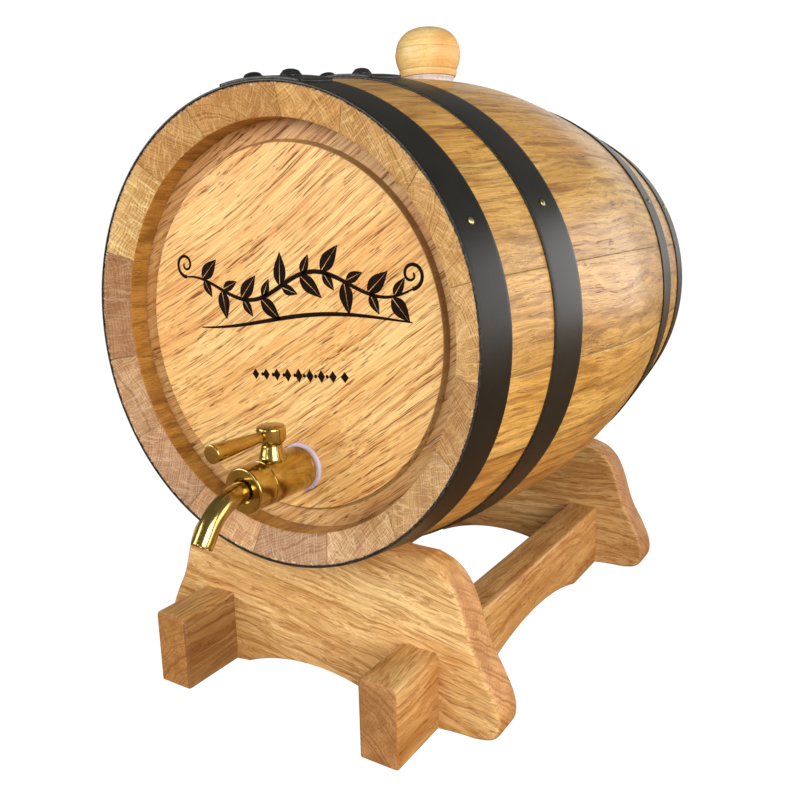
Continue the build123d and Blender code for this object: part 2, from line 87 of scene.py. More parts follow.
def outer_r(y):
    e, k = 0.12, 0.61
    s = abs(2 * y / LENGTH)
    f = ((s * s + e * e) ** k - e ** (2 * k)) / ((1 + e * e) ** k - e ** (2 * k))
    return R_BILGE - (R_BILGE - R_HEAD) * f


SEAMS = (-7.0, 14.5, 40.0, 64.0, 83.0, 111.0, 133.0, 160.0, 190.0, 213.0, 238.0, 262.0, 286.0, 309.0, 333.0)
HOOPS = {"end_hoop_front": (FRONT, FRONT + 23.2), "quarter_hoop_front": (FRONT + 60.5, FRONT + 87.4),
         "quarter_hoop_rear": (-FRONT - 87.4, -FRONT - 60.5), "end_hoop_rear": (-FRONT - 23.2, -FRONT)}
LAPS = {"end_hoop_front": (75.0, 99.5), "quarter_hoop_front": (77.5, 102.5),
        "quarter_hoop_rear": (77.5, 102.5), "end_hoop_rear": (78.0, 104.0)}
RIVETS = {"end_hoop_front": (82.7, 93.6), "quarter_hoop_front": (85.0, 95.0),
          "quarter_hoop_rear": (85.0, 95.0), "end_hoop_rear": (86.5, 97.0)}
NAILS = {"end_hoop_front": (26.55, 151.8), "quarter_hoop_front": (28.2, 151.8),
         "quarter_hoop_rear": (28.2, 151.8), "end_hoop_rear": (28.2, 151.8)}


# ------------------------------------------------------------------ node helpers
class Net:
    """Small helper that writes a shader node tree."""

    def __init__(self, name):
        self.mat = bpy.data.materials.new(name)
        self.mat.use_nodes = True
        self.t = self.mat.node_tree
        self.t.nodes.clear()

    def node(self, kind, **props):
        n = self.t.nodes.new(kind)
        for k, v in props.items():
            setattr(n, k, v)
        return n

    def put(self, sock, v):
        if isinstance(v, bpy.types.NodeSocket):
            self.t.links.new(v, sock)
        elif v is not None:
            sock.default_value = v

    def m(self, op, a, b=None, c=None, clamp=False):
        n = self.node("ShaderNodeMath", operation=op, use_clamp=clamp)
        for i, v in enumerate((a, b, c)):
            if v is not None:
                self.put(n.inputs[i], v)
        return n.outputs[0]

    def vm(self, op, a, b=None, out=0):
        n = self.node("ShaderNodeVectorMath", operation=op)
        self.put(n.inputs[0], a)
        if op == "SCALE":
            self.put(n.inputs[3], b)
        elif b is not None:
            self.put(n.inputs[1], b)
        return n.outputs[out]

    def noise(self, vec, detail=1.0, rough=0.5, scale=1.0, color=False, lac=2.0):
        n = self.node("ShaderNodeTexNoise", noise_dimensions="3D")
        self.put(n.inputs["Vector"], vec)
        n.inputs["Scale"].default_value = scale
        n.inputs["Detail"].default_value = detail
        n.inputs["Roughness"].default_value = rough
        n.inputs["Lacunarity"].default_value = lac
        return n.outputs["Color" if color else "Fac"]

    def rng(self, v, a, b, c=0.0, d=1.0, smooth=True):
        n = self.node("ShaderNodeMapRange", interpolation_type="SMOOTHSTEP" if smooth else "LINEAR", clamp=True)
        self.put(n.inputs[0], v)
        for i, x in enumerate((a, b, c, d)):
            self.put(n.inputs[i + 1], x)
        return n.outputs[0]

    def mix(self, f, a, b, blend="MIX"):
        n = self.node("ShaderNodeMix", data_type="RGBA", blend_type=blend)
        self.put(n.inputs[0], f)
        self.put(n.inputs[6], a)
        self.put(n.inputs[7], b)
        return n.outputs[2]

    def sep(self, v):
        n = self.node("ShaderNodeSeparateXYZ")
        self.put(n.inputs[0], v)
        return n.outputs

    def comb(self, x, y, z):
        n = self.node("ShaderNodeCombineXYZ")
        for i, v in enumerate((x, y, z)):
            self.put(n.inputs[i], v)
        return n.outputs[0]

    def attr(self, name):
        return self.node("ShaderNodeAttribute", attribute_name=name, attribute_type="GEOMETRY")

    def out(self, shader):
        o = self.node("ShaderNodeOutputMaterial")
        self.t.links.new(shader, o.inputs["Surface"])
        return self.mat

    def bsdf(self, **kw):
        b = self.node("ShaderNodeBsdfPrincipled")
        for k, v in kw.items():
            self.put(b.inputs[k.replace("_", " ")], v)
        return b


def lin(r, g, b):
    def f(c):
        c /= 255.0
        return c / 12.92 if c <= 0.04045 else ((c + 0.055) / 1.055) ** 2.4
    return (f(r), f(g), f(b), 1.0)


# ------------------------------------------------------------------ wood
def wood(name, light, mid, dark, pore, ring=4.2, early=0.55, pores=0.75, warp=(7.0, 1.6), rough=0.42, end=None,
         rays=0.5, stain=False, bump=0.35, along=0.11, spec=0.4, tint=(1, 1, 1), plo=0.585, streakz=0.030,
         fleck=0.0, contrast=1.0, fine=0.30, tick=(2.3, 0.12), endring=1.5, blotch=0.0, relief=0.7):
    """Solid oak: growth rings about the pith, open pores along the grain, rays on end grain.
    Attribute W is the place in the board in mm (x, y from the pith, z along the grain),
    T is (tone, pink, distance from the stained edge), E is how far a face is end grain,
    C is a colour multiplier as an offset from one. The tone and C carry board-to-board colour and also painted light
    and shade."""
    g = Net(name)
    W = g.attr("W").outputs["Vector"]
    T = g.sep(g.attr("T").outputs["Vector"])
    C = g.attr("C").outputs["Vector"]
    E = g.attr("E").outputs["Fac"]
    w1 = g.noise(g.vm("MULTIPLY", W, (0.020, 0.020, 0.0075)), 2.0, 0.5, color=True)
    w2 = g.noise(g.vm("MULTIPLY", W, (0.11, 0.11, 0.030)), 2.0, 0.55, color=True)
    d1 = g.vm("SCALE", g.vm("SUBTRACT", w1, (0.5, 0.5, 0.5)), warp[0] * 2)
    d2 = g.vm("SCALE", g.vm("SUBTRACT", w2, (0.5, 0.5, 0.5)), warp[1] * 2)
    D = g.vm("ADD", W, g.vm("ADD", d1, d2))
    x, y, z = g.sep(D)
    r = g.m("SQRT", g.m("ADD", g.m("MULTIPLY", x, x), g.m("MULTIPLY", y, y)))
    # uneven ring widths
    rv = g.noise(g.comb(g.m("MULTIPLY", r, 0.055), 3.1, 7.7), 2.0, 0.6)
    ph = g.m("ADD", g.m("DIVIDE", r, ring), g.m("MULTIPLY", rv, 5.0))
    saw = g.m("FRACT", ph)
    band = g.m("MULTIPLY", g.rng(saw, 0.0, 0.16), g.rng(saw, 0.62, 0.2))
    ringid = g.m("FLOOR", ph)
    vary = g.noise(g.comb(g.m("MULTIPLY", ringid, 1.37), 0.5, g.m("MULTIPLY", z, 0.006)), 0.0)
    band = g.m("MULTIPLY", band, g.rng(vary, 0.3, 0.65, 0.25, 1.0))
    fib = g.noise(g.vm("MULTIPLY", D, (1.25, 1.25, 0.028)), 3.0, 0.62)
    tone = g.noise(g.vm("MULTIPLY", W, (0.035, 0.035, 0.010)), 2.0, 0.5)
    # open pores: short dark ticks, more of them in the early wood
    pv = g.noise(g.vm("MULTIPLY", D, (tick[0], tick[0], along)), 1.5, 0.55)
    pm = g.rng(g.m("ADD", pv, g.m("MULTIPLY", band, 0.085)), plo, plo + tick[1])
    mid_s = g.noise(g.vm("MULTIPLY", D, (0.70, 0.70, streakz)), 2.0, 0.55)
    streak = g.rng(g.m("ADD", mid_s, g.m("MULTIPLY", band, 0.10)), 0.50, 0.68)
    col = g.mix(g.rng(g.m("ADD", g.m("MULTIPLY", tone, 0.50), g.m("MULTIPLY", fib, 0.50)), 0.39, 0.61), mid, light)
    fl_ = g.noise(g.vm("MULTIPLY", D, (3.4, 3.4, 0.030)), 1.0, 0.5)
    col = g.mix(g.m("MULTIPLY", g.rng(fl_, 0.52, 0.66), fine), col, dark)
    col = g.mix(g.m("MULTIPLY", g.m("MAXIMUM", g.m("MULTIPLY", band, 0.75), streak), early), col, dark)
    if blotch:
        # wide soft cloudy bands
        bl = g.noise(g.vm("MULTIPLY", D, (0.16, 0.16, 0.022)), 2.0, 0.5)
        col = g.mix(g.m("MULTIPLY", g.rng(bl, 0.50, 0.66), blotch), col, dark)
    col = g.mix(g.m("MULTIPLY", pm, pores), col, pore)
    if fleck:
        # short pale flecks where a ray lies in the surface
        fn = g.noise(g.vm("MULTIPLY", D, (0.22, 0.60, 0.15)), 2.0, 0.6)
        fl = g.rng(g.m("ABSOLUTE", g.m("SUBTRACT", fn, 0.52)), 0.016, 0.004)
        fg = g.noise(g.vm("MULTIPLY", W, (0.03, 0.05, 0.02)), 1.0, 0.5)
        fl = g.m("MULTIPLY", g.m("MULTIPLY", fl, g.rng(fg, 0.46, 0.62)), fleck)
        col = g.mix(fl, col, g.mix(0.3, light, (1, 0.9, 0.7, 1)))
    if contrast != 1.0:
        mean = tuple((light[i] + 2 * mid[i] + dark[i]) / 4 for i in range(3))
        col = g.vm("MAXIMUM", g.vm("ADD", g.vm("SCALE", g.vm("SUBTRACT", col, mean), contrast), mean),
                   (0.01, 0.006, 0.003))
    col = g.mix(1.0, col, (tint[0], tint[1], tint[2], 1), "MULTIPLY")
    # end grain: fine ring lines crossed by thin pale rays
    el, em, ed_ = end or (light, mid, dark)
    wx, wy, wz = g.sep(W)
    g1 = g.noise(g.vm("MULTIPLY", W, (0.09, 0.09, 0.01)), 2.0, 0.5, color=True)
    Q = g.vm("ADD", W, g.vm("SCALE", g.vm("SUBTRACT", g1, (0.5, 0.5, 0.5)), 5.0))
    qx, qy, qz = g.sep(Q)
    qr = g.m("SQRT", g.m("ADD", g.m("MULTIPLY", qx, qx), g.m("MULTIPLY", qy, qy)))
    rvar = g.noise(g.comb(g.m("MULTIPLY", qr, 0.10), 1.7, 4.4), 2.0, 0.6)
    pe = g.m("ADD", g.m("DIVIDE", qr, endring), g.m("MULTIPLY", rvar, 7.0))
    se = g.m("FRACT", pe)
    be = g.m("MULTIPLY", g.rng(se, 0.0, 0.30), g.rng(se, 0.85, 0.30))
    wide = g.noise(g.comb(g.m("MULTIPLY", qr, 0.30), 9.1, g.m("MULTIPLY", wz, 0.02)), 1.0, 0.5)
    be = g.m("MULTIPLY", be, g.rng(wide, 0.38, 0.62, 0.25, 1.0))
    ang = g.m("MULTIPLY", g.m("ARCTAN2", qy, qx), 85.0)
    rn = g.noise(g.comb(g.m("MULTIPLY", ang, 0.62), g.m("MULTIPLY", qr, 0.050), g.m("MULTIPLY", wz, 0.02)), 1.0, 0.5)
    raym = g.m("MULTIPLY", g.rng(g.m("ABSOLUTE", g.m("SUBTRACT", rn, 0.5)), 0.050, 0.0), rays * 0.72)
    rb = g.noise(g.comb(g.m("MULTIPLY", ang, 0.20), g.m("MULTIPLY", qr, 0.030), 3.3), 1.0, 0.5)
    rayb = g.m("MULTIPLY", g.rng(g.m("ABSOLUTE", g.m("SUBTRACT", rb, 0.5)), 0.012, 0.0), rays * 0.45)
    speck = g.noise(g.vm("MULTIPLY", W, (1.3, 1.3, 0.1)), 2.0, 0.6)
    cloud = g.noise(g.vm("MULTIPLY", W, (0.10, 0.10, 0.02)), 3.0, 0.55)
    ecol = g.mix(g.rng(cloud, 0.36, 0.64), g.mix(0.38, em, ed_), g.mix(0.22, em, el))
    ecol = g.mix(g.m("MULTIPLY", g.rng(speck, 0.44, 0.68), relief * 0.7), ecol, ed_)
    ecol = g.mix(g.m("MULTIPLY", be, relief), ecol, ed_)
    ecol = g.mix(raym, ecol, el)
    ecol = g.mix(rayb, ecol, g.mix(0.4, el, (1, 0.93, 0.80, 1)))
    col = g.mix(E, col, ecol)
    # board to board colour, plus the painted light and shade carried in the tone and in C
    col = g.mix(T[1], col, g.mix(1.0, col, (0.64, 0.55, 0.70, 1), "MULTIPLY"))
    col = g.vm("MULTIPLY", col, g.vm("ADD", C, (1, 1, 1)))
    k = g.m("ADD", T[0], 1.0)
    col = g.vm("MINIMUM", g.vm("SCALE", col, k), (0.98, 0.92, 0.80))
    height = g.m("ADD", g.m("MULTIPLY", pm, -1.0), g.m("MULTIPLY", fib, 0.5))
    ro = g.m("ADD", g.m("MULTIPLY", fib, 0.10), g.m("ADD", g.m("MULTIPLY", pm, 0.12), rough - 0.05))
    ro = g.m("ADD", ro, g.m("MULTIPLY", E, 0.12))
    if stain:
        ns = g.noise(g.vm("MULTIPLY", W, (0.9, 0.9, 0.9)), 3.0, 0.65)
        ds = g.m("ADD", T[2], g.m("MULTIPLY", g.m("SUBTRACT", ns, 0.5), 2.2))
        sm = g.rng(ds, 0.80, 0.10)
        halo = g.rng(ds, 2.4, 0.4)
        col = g.mix(g.m("MULTIPLY", halo, 0.25), col, lin(130, 92, 60))
        col = g.mix(sm, col, lin(30, 25, 21))
        chip = g.noise(g.vm("MULTIPLY", W, (0.5, 0.5, 0.5)), 3.0, 0.7)
        cm = g.m("MULTIPLY", g.rng(chip, 0.55, 0.63), g.m("MULTIPLY", g.rng(ds, 1.9, 1.1), g.rng(ds, 0.35, 0.8)))
        col = g.mix(g.m("MULTIPLY", cm, 0.8), col, lin(240, 216, 184))
    b = g.bsdf(Base_Color=col, Roughness=ro, Specular_IOR_Level=spec)
    bp = g.node("ShaderNodeBump")
    bp.inputs["Strength"].default_value = bump
    bp.inputs["Distance"].default_value = 0.00022
    g.put(bp.inputs["Height"], height)
    g.t.links.new(bp.outputs["Normal"], b.inputs["Normal"])
    return g.out(b.outputs["BSDF"])


def add_attr(me, name, kind, domain, data):
    a = me.attributes.new(name, kind, domain)
    a.data.foreach_set("vector" if kind == "FLOAT_VECTOR" else "value",
                       np.ascontiguousarray(data, dtype=np.float32).ravel())


def coords(me):
    co = np.zeros(len(me.vertices) * 3, np.float32)
    me.vertices.foreach_get("co", co)
    return co.reshape(-1, 3).astype(float) * 1000.0


def dress(me, wfun, tfun=None, gdir=(0, 1, 0), cfun=None):
    """Writes the wood coordinates of a mesh, all worked out from where its vertices are."""
    P = coords(me)
    add_attr(me, "W", "FLOAT_VECTOR", "POINT", wfun(P))
    nf = len(me.polygons)
    nrm = np.zeros(nf * 3, np.float32)
    cen = np.zeros(nf * 3, np.float32)
    me.polygons.foreach_get("normal", nrm)
    me.polygons.foreach_get("center", cen)
    nrm, cen = nrm.reshape(-1, 3).astype(float), cen.reshape(-1, 3).astype(float) * 1000
    tot = np.zeros(nf, np.int32)
    me.polygons.foreach_get("loop_total", tot)
    gd = gdir(cen) if callable(gdir) else np.tile(np.array(gdir, float), (nf, 1))
    gd /= np.linalg.norm(gd, axis=1)[:, None]
    cn = np.zeros(len(me.loops) * 3, np.float32)
    me.corner_normals.foreach_get("vector", cn)
    e = np.abs((cn.reshape(-1, 3).astype(float) * np.repeat(gd, tot, 0)).sum(1))
    e = np.clip((e - 0.35) / 0.50, 0, 1)
    e = e * e * (3 - 2 * e)
    add_attr(me, "E", "FLOAT", "CORNER", e)
    vi = np.zeros(len(me.loops), np.int32)
    me.loops.foreach_get("vertex_index", vi)
    if tfun is None:
        t = np.tile(np.array([0.0, 0.0, 99.0]), (len(me.loops), 1))
    else:
        t = tfun(P[vi], np.repeat(nrm, tot, 0), np.repeat(cen, tot, 0))
    add_attr(me, "T", "FLOAT_VECTOR", "CORNER", t)
    if cfun is not None:
        add_attr(me, "C", "FLOAT_VECTOR", "CORNER", cfun(P[vi], np.repeat(nrm, tot, 0)) - 1.0)


def build(name, verts, faces, mat, body, nodes=(), sharp=32.0):
    me = bpy.data.meshes.new(name)
    v = np.asarray(verts, float) * MM
    me.from_pydata(v.tolist(), [], faces)
    me.validate()
    bm = bmesh.new()
    bm.from_mesh(me)
    bmesh.ops.remove_doubles(bm, verts=bm.verts, dist=1e-7)
    bmesh.ops.recalc_face_normals(bm, faces=bm.faces)
    bm.to_mesh(me)
    bm.free()
    return finish_mesh(name, me, mat, body, nodes, sharp)


def finish_mesh(name, me, mat, body, nodes=(), sharp=32.0):
    me.polygons.foreach_set("use_smooth", np.ones(len(me.polygons), bool))
    me.set_sharp_from_angle(angle=math.radians(sharp))
    ob = bpy.data.objects.new(name, me)
    scene.collection.objects.link(ob)
    if mat:
        me.materials.append(mat)
    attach(ob, body)
    if nodes:
        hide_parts(*nodes)
    return ob


def cut(ob, verts, faces):
    """Boolean difference with a closed cutter, worked out now and kept in the mesh."""
    cm = bpy.data.meshes.new("cutter")
    cm.from_pydata((np.asarray(verts, float) * MM).tolist(), [], faces)
    bm = bmesh.new()
    bm.from_mesh(cm)
    bmesh.ops.recalc_face_normals(bm, faces=bm.faces)
    bm.to_mesh(cm)
    bm.free()
    co = bpy.data.objects.new("cutter", cm)
    scene.collection.objects.link(co)
    md = ob.modifiers.new("cut", "BOOLEAN")
    md.operation = "DIFFERENCE"
    md.solver = "EXACT"
    md.object = co
    bpy.context.view_layer.update()
    dg = bpy.context.evaluated_depsgraph_get()
    new = bpy.data.meshes.new_from_object(ob.evaluated_get(dg), preserve_all_data_layers=True, depsgraph=dg)
    ob.modifiers.clear()
    old = ob.data
    new.name = old.name
    ob.data = new
    bpy.data.meshes.remove(old)
    bpy.data.objects.remove(co)
    bpy.data.meshes.remove(cm)


def arc(cx, cy, r, a0, a1, n):
    return [(cx + r * math.cos(math.radians(a0 + (a1 - a0) * i / n)),
             cy + r * math.sin(math.radians(a0 + (a1 - a0) * i / n))) for i in range(n + 1)]


def lathe(profile, axis="z", centre=(0, 0, 0), seg=96):
    """Closed solid of revolution. profile is (radius, height along the axis); radius 0 ends close it."""
    V, F, rings = [], [], []
    for r, h in profile:
        if r < 1e-6:
            rings.append([len(V)])
            V.append((0, 0, h))
        else:
            rings.append(list(range(len(V), len(V) + seg)))
            for i in range(seg):
                a = 2 * math.pi * i / seg
                V.append((r * math.cos(a), r * math.sin(a), h))
    pairs = list(zip(rings, rings[1:]))
    if len(rings[0]) > 1 and len(rings[-1]) > 1:
        pairs.append((rings[-1], rings[0]))
    for a, b in pairs:
        for i in range(seg):
            j = (i + 1) % seg
            if len(a) == 1 and len(b) == 1:
                break
            if len(a) == 1:
                F.append((a[0], b[j], b[i]))
            elif len(b) == 1:
                F.append((a[i], a[j], b[0]))
            else:
                F.append((a[i], a[j], b[j], b[i]))
    V = np.array(V, float)
    if axis == "y":
        V = np.stack([V[:, 0], V[:, 2], V[:, 1]], 1)
    return V + np.array(centre, float), F


def soften(profile, r=0.3, n=3, closed=False):
    """Rounds the corners of a profile line with small arcs."""
    out = []
    m = len(profile)
    for i, p in enumerate(profile):
        if not closed and i in (0, m - 1):
            out.append(p)
            continue
        a, b = np.array(profile[i - 1], float), np.array(profile[(i + 1) % m], float)
        p = np.array(p, float)
        u, v = a - p, b - p
        lu, lv = np.linalg.norm(u), np.linalg.norm(v)
        if lu < 1e-6 or lv < 1e-6:
            out.append(tuple(p))
            continue
        u, v = u / lu, v / lv
        d = min(r, lu * 0.45, lv * 0.45)
        if np.dot(u, v) < -0.985:
            out.append(tuple(p))
            continue
        s, e = p + u * d, p + v * d
        for k in range(n + 1):
            t = k / n
            q = (1 - t) ** 2 * s + 2 * t * (1 - t) * p + t * t * e
            out.append((max(0.0, float(q[0])), float(q[1])))
    return out


def sweep_profile(profile, a0, a1, na, full=False, inset=0.0, mask=None):
    """Closed (radius, y) profile turned about the barrel axis from a0 to a1 degrees."""
    P = np.array(profile, float)
    M = len(P)
    mask = np.ones(M) if mask is None else np.array(mask, float)
    nxt, prv = np.roll(P, -1, 0), np.roll(P, 1, 0)
    t = nxt - prv
    t /= np.maximum(np.linalg.norm(t, axis=1)[:, None], 1e-9)
    nr = np.stack([t[:, 1], -t[:, 0]], 1)
    area = 0.5 * np.sum(P[:, 0] * nxt[:, 1] - nxt[:, 0] * P[:, 1])
    if area < 0:
        nr = -nr
    if full:
        st = [(a0 + (a1 - a0) * i / na, 0.0) for i in range(na)]
    else:
        da = math.degrees(inset / 120.0)
        st = [(a0, inset)] + [(a0 + da * 0.4, inset * 0.3)] if inset else []
        lo, hi = (a0 + da, a1 - da) if inset else (a0, a1)
        st += [(lo + (hi - lo) * i / na, 0.0) for i in range(na + 1)]
        if inset:
            st += [(a1 - da * 0.4, inset * 0.3), (a1, inset)]
    V, F = [], []
    for ang, ins in st:
        Q = P - nr * (ins * mask)[:, None]
        c, s = math.cos(math.radians(ang)), math.sin(math.radians(ang))
        for r, y in Q:
            V.append((AX + r * c, y, AZ + r * s))
    n = len(st)
    for i in range(n if full else n - 1):
        j = (i + 1) % n
        for k in range(M):
            l = (k + 1) % M
            F.append((i * M + k, j * M + k, j * M + l, i * M + l))
    if not full:
        F.append(tuple(range(M)))
        F.append(tuple((n - 1) * M + k for k in range(M))[::-1])
    return np.array(V), F


def polar(P):
    dx, dz = P[:, 0] - AX, P[:, 2] - AZ
    return np.hypot(dx, dz), np.degrees(np.arctan2(dz, dx))


R_TAB_Y = np.linspace(-HALF, HALF, 161)
R_TAB = np.array([outer_r(v) for v in R_TAB_Y])


def rout(y):
    return np.interp(y, R_TAB_Y, R_TAB)


# ------------------------------------------------------------------ materials
M_STAVE = wood("stave_wood", lin(236, 190, 112), lin(206, 156, 80), lin(150, 98, 40), lin(104, 66, 26),
               ring=4.4, early=0.46, pores=0.55, warp=(5.5, 2.0), rough=0.32, stain=True, rays=0.70, spec=0.5,
               end=(lin(252, 216, 152), lin(226, 174, 108), lin(164, 108, 52)), along=0.065, plo=0.635,
               streakz=0.018, fleck=0.50, tint=(0.86, 0.79, 0.68), contrast=1.22, fine=0.26, tick=(2.3, 0.07),
               blotch=0.50, relief=0.85)
M_HEAD = wood("head_wood", lin(255, 220, 150), lin(240, 188, 116), lin(202, 136, 68), lin(134, 78, 28),
              ring=5.0, early=0.62, pores=0.80, warp=(4.5, 1.3), rough=0.44, rays=0.3, along=0.045, plo=0.605,
              streakz=0.015, tint=(1.00, 0.975, 0.95), contrast=1.16, fine=0.34, tick=(1.8, 0.08),
              end=(lin(226, 184, 126), lin(210, 164, 104), lin(176, 124, 70)))
M_STAND = wood("stand_wood", lin(248, 204, 138), lin(224, 170, 104), lin(182, 120, 56), lin(142, 88, 34),
               ring=5.4, early=0.62, pores=0.45, warp=(10.0, 3.0), rough=0.42, rays=0.16, along=0.07, plo=0.63,
               streakz=0.020, fleck=0.2, tint=(0.99, 1.08, 1.18), contrast=1.30, tick=(2.1, 0.08), endring=2.6,
               end=(lin(232, 184, 128), lin(208, 152, 92), lin(150, 92, 42)), blotch=0.30, relief=0.80)
M_KNOB = wood("knob_wood", lin(255, 218, 146), lin(246, 198, 120), lin(222, 162, 88), lin(196, 138, 72),
              ring=3.2, early=0.35, pores=0.30, warp=(5.0, 1.6), rough=0.26, rays=0.1, bump=0.1, along=0.2,
              tint=(0.95, 1.02, 1.10), end=(lin(250, 206, 136), lin(240, 190, 116), lin(214, 154, 84)))
M_DOWEL = wood("dowel_wood", lin(214, 170, 116), lin(196, 150, 96), lin(160, 110, 62), lin(120, 80, 44),
               ring=3.0, rough=0.5)


def iron(name, base, worn, rough=0.4):
    """Blackened steel: satin, faint mottling, bare along its edges."""
    g = Net(name)
    tc = g.node("ShaderNodeTexCoord")
    P = g.vm("SCALE", tc.outputs["Object"], 1000.0)
    n1 = g.noise(g.vm("MULTIPLY", P, (0.03, 0.03, 0.03)), 3.0, 0.6)
    n2 = g.noise(g.vm("MULTIPLY", P, (0.9, 0.9, 0.9)), 3.0, 0.65)
    col = g.mix(g.rng(n1, 0.35, 0.7), base, g.mix(0.25, base, worn))
    col = g.mix(g.m("MULTIPLY", g.rng(n2, 0.64, 0.74), 0.22), col, worn)
    ed = g.attr("EDGE").outputs["Fac"]
    em = g.rng(g.m("ADD", ed, g.m("MULTIPLY", g.m("SUBTRACT", n2, 0.5), 0.7)), 0.86, 1.12)
    col = g.mix(g.m("MULTIPLY", em, 0.55), col, lin(112, 110, 106))
    ro = g.m("ADD", g.m("MULTIPLY", n2, 0.08), g.m("ADD", g.m("MULTIPLY", n1, 0.05), rough - 0.065))
    b = g.bsdf(Base_Color=col, Roughness=ro, Metallic=g.m("MULTIPLY", em, 0.5), Specular_IOR_Level=0.42)
    bp = g.node("ShaderNodeBump")
    bp.inputs["Strength"].default_value = 0.25
    bp.inputs["Distance"].default_value = 0.0002
    g.put(bp.inputs["Height"], n2)
    g.t.links.new(bp.outputs["Normal"], b.inputs["Normal"])
    return g.out(b.outputs["BSDF"])


def brass(name, base, tarnish, rough=0.17):
    """Lacquered antique brass: small tarnish clouds, brighter rubbed spots."""
    g = Net(name)
    tc = g.node("ShaderNodeTexCoord")
    P = g.vm("SCALE", tc.outputs["Object"], 1000.0)
    n1 = g.noise(g.vm("MULTIPLY", P, (0.10, 0.10, 0.10)), 3.0, 0.6)
    n2 = g.noise(g.vm("MULTIPLY", P, (1.6, 1.6, 1.6)), 2.0, 0.6)
    col = g.mix(g.rng(n1, 0.36, 0.66), base, tarnish)
    col = g.mix(g.m("MULTIPLY", g.rng(n2, 0.58, 0.76), 0.14), col, lin(96, 70, 26))
    # painted shade: darker where the surface faces up
    geo = g.node("ShaderNodeNewGeometry")
    up = g.rng(g.sep(geo.outputs["Normal"])[2], 0.72, 0.97)
    col = g.mix(g.m("MULTIPLY", up, 0.55), col, lin(112, 84, 36))
    ro = g.m("ADD", g.m("MULTIPLY", n1, 0.06), g.m("ADD", g.m("MULTIPLY", n2, 0.03), rough - 0.045))
    b = g.bsdf(Base_Color=col, Roughness=ro, Metallic=1.0, Coat_Weight=0.10, Coat_Roughness=0.12)
    bp = g.node("ShaderNodeBump")
    bp.inputs["Strength"].default_value = 0.015
    bp.inputs["Distance"].default_value = 0.0001
    g.put(bp.inputs["Height"], n1)
    g.t.links.new(bp.outputs["Normal"], b.inputs["Normal"])
    return g.out(b.outputs["BSDF"])


def silicone(name, tint, deep):
    g = Net(name)
    tc = g.node("ShaderNodeTexCoord")
    P = g.vm("SCALE", tc.outputs["Object"], 1000.0)
    n1 = g.noise(g.vm("MULTIPLY", P, (0.25, 0.25, 0.25)), 3.0, 0.6)
    n2 = g.noise(g.vm("MULTIPLY", P, (1.4, 1.4, 1.4)), 2.0, 0.5)
    col = g.mix(g.rng(n1, 0.35, 0.65), tint, deep)
    b = g.bsdf(Base_Color=col, Roughness=g.m("ADD", g.m("MULTIPLY", n2, 0.08), 0.26),
               Subsurface_Weight=0.5, Subsurface_Scale=0.002, IOR=1.41)
    bp = g.node("ShaderNodeBump")
    bp.inputs["Strength"].default_value = 0.08
    bp.inputs["Distance"].default_value = 0.0002
    g.put(bp.inputs["Height"], n1)
    g.t.links.new(bp.outputs["Normal"], b.inputs["Normal"])
    return g.out(b.outputs["BSDF"])


def plain_rubber(name, c1, c2, rough=0.6, metal=0.0):
    g = Net(name)
    tc = g.node("ShaderNodeTexCoord")
    P = g.vm("SCALE", tc.outputs["Object"], 1000.0)
    n1 = g.noise(g.vm("MULTIPLY", P, (0.8, 0.8, 0.8)), 3.0, 0.6)
    col = g.mix(g.rng(n1, 0.35, 0.65), c1, c2)
    b = g.bsdf(Base_Color=col, Roughness=g.m("ADD", g.m("MULTIPLY", n1, 0.2), rough - 0.1), Metallic=metal)
    bp = g.node("ShaderNodeBump")
    bp.inputs["Strength"].default_value = 0.15
    bp.inputs["Distance"].default_value = 0.0002
    g.put(bp.inputs["Height"], n1)
    g.t.links.new(bp.outputs["Normal"], b.inputs["Normal"])
    return g.out(b.outputs["BSDF"])


M_HOOP = iron("hoop_iron", lin(15, 15, 11), lin(40, 38, 31), 0.36)
M_RIVET = iron("rivet_iron", lin(22, 24, 25), lin(58, 64, 66), 0.33)
M_NAIL = brass("nail_brass", lin(200, 186, 134), lin(160, 144, 96), 0.36)
M_BRASS = brass("tap_brass", lin(206, 182, 110), lin(182, 154, 84), 0.165)
M_WASH = silicone("washer_silicone", lin(208, 200, 220), lin(200, 190, 210))
M_SEAL = silicone("bung_silicone", lin(226, 216, 214), lin(206, 192, 188))
M_RING = plain_rubber("ring_rubber", lin(38, 38, 40), lin(54, 54, 56), 0.6)
M_STEEL = plain_rubber("screw_steel", lin(160, 160, 158), lin(120, 120, 118), 0.35, 1.0)


def burnt():
    """Scorched line work on the head: near black, brown where the burn is light."""
    g = Net("burnt_line")
    tc = g.node("ShaderNodeTexCoord")
    P = g.vm("SCALE", tc.outputs["Object"], 1000.0)
    n1 = g.noise(g.vm("MULTIPLY", P, (0.7, 0.7, 0.7)), 3.0, 0.6)
    n2 = g.noise(g.vm("MULTIPLY", P, (2.6, 2.6, 2.6)), 2.0, 0.6)
    col = g.mix(g.rng(n1, 0.40, 0.70), lin(22, 11, 6), lin(40, 22, 12))
    b = g.bsdf(Base_Color=col, Roughness=g.m("ADD", g.m("MULTIPLY", n2, 0.2), 0.6), Specular_IOR_Level=0.08)
    bp = g.node("ShaderNodeBump")
    bp.inputs["Strength"].default_value = 0.3
    bp.inputs["Distance"].default_value = 0.0001
    g.put(bp.inputs["Height"], n2)
    g.t.links.new(bp.outputs["Normal"], b.inputs["Normal"])
    return g.out(b.outputs["BSDF"])


M_BURN = burnt()

# ------------------------------------------------------------------ staves
BEV = 0.35
prof = []
ye = np.concatenate([[FRONT + 0.5, FRONT + 1.2, FRONT + 2.2, FRONT + 4], np.linspace(FRONT + 7, -FRONT - 7, 62),
                     [-FRONT - 4, -FRONT - 2.2, -FRONT - 1.2, -FRONT - 0.5]])


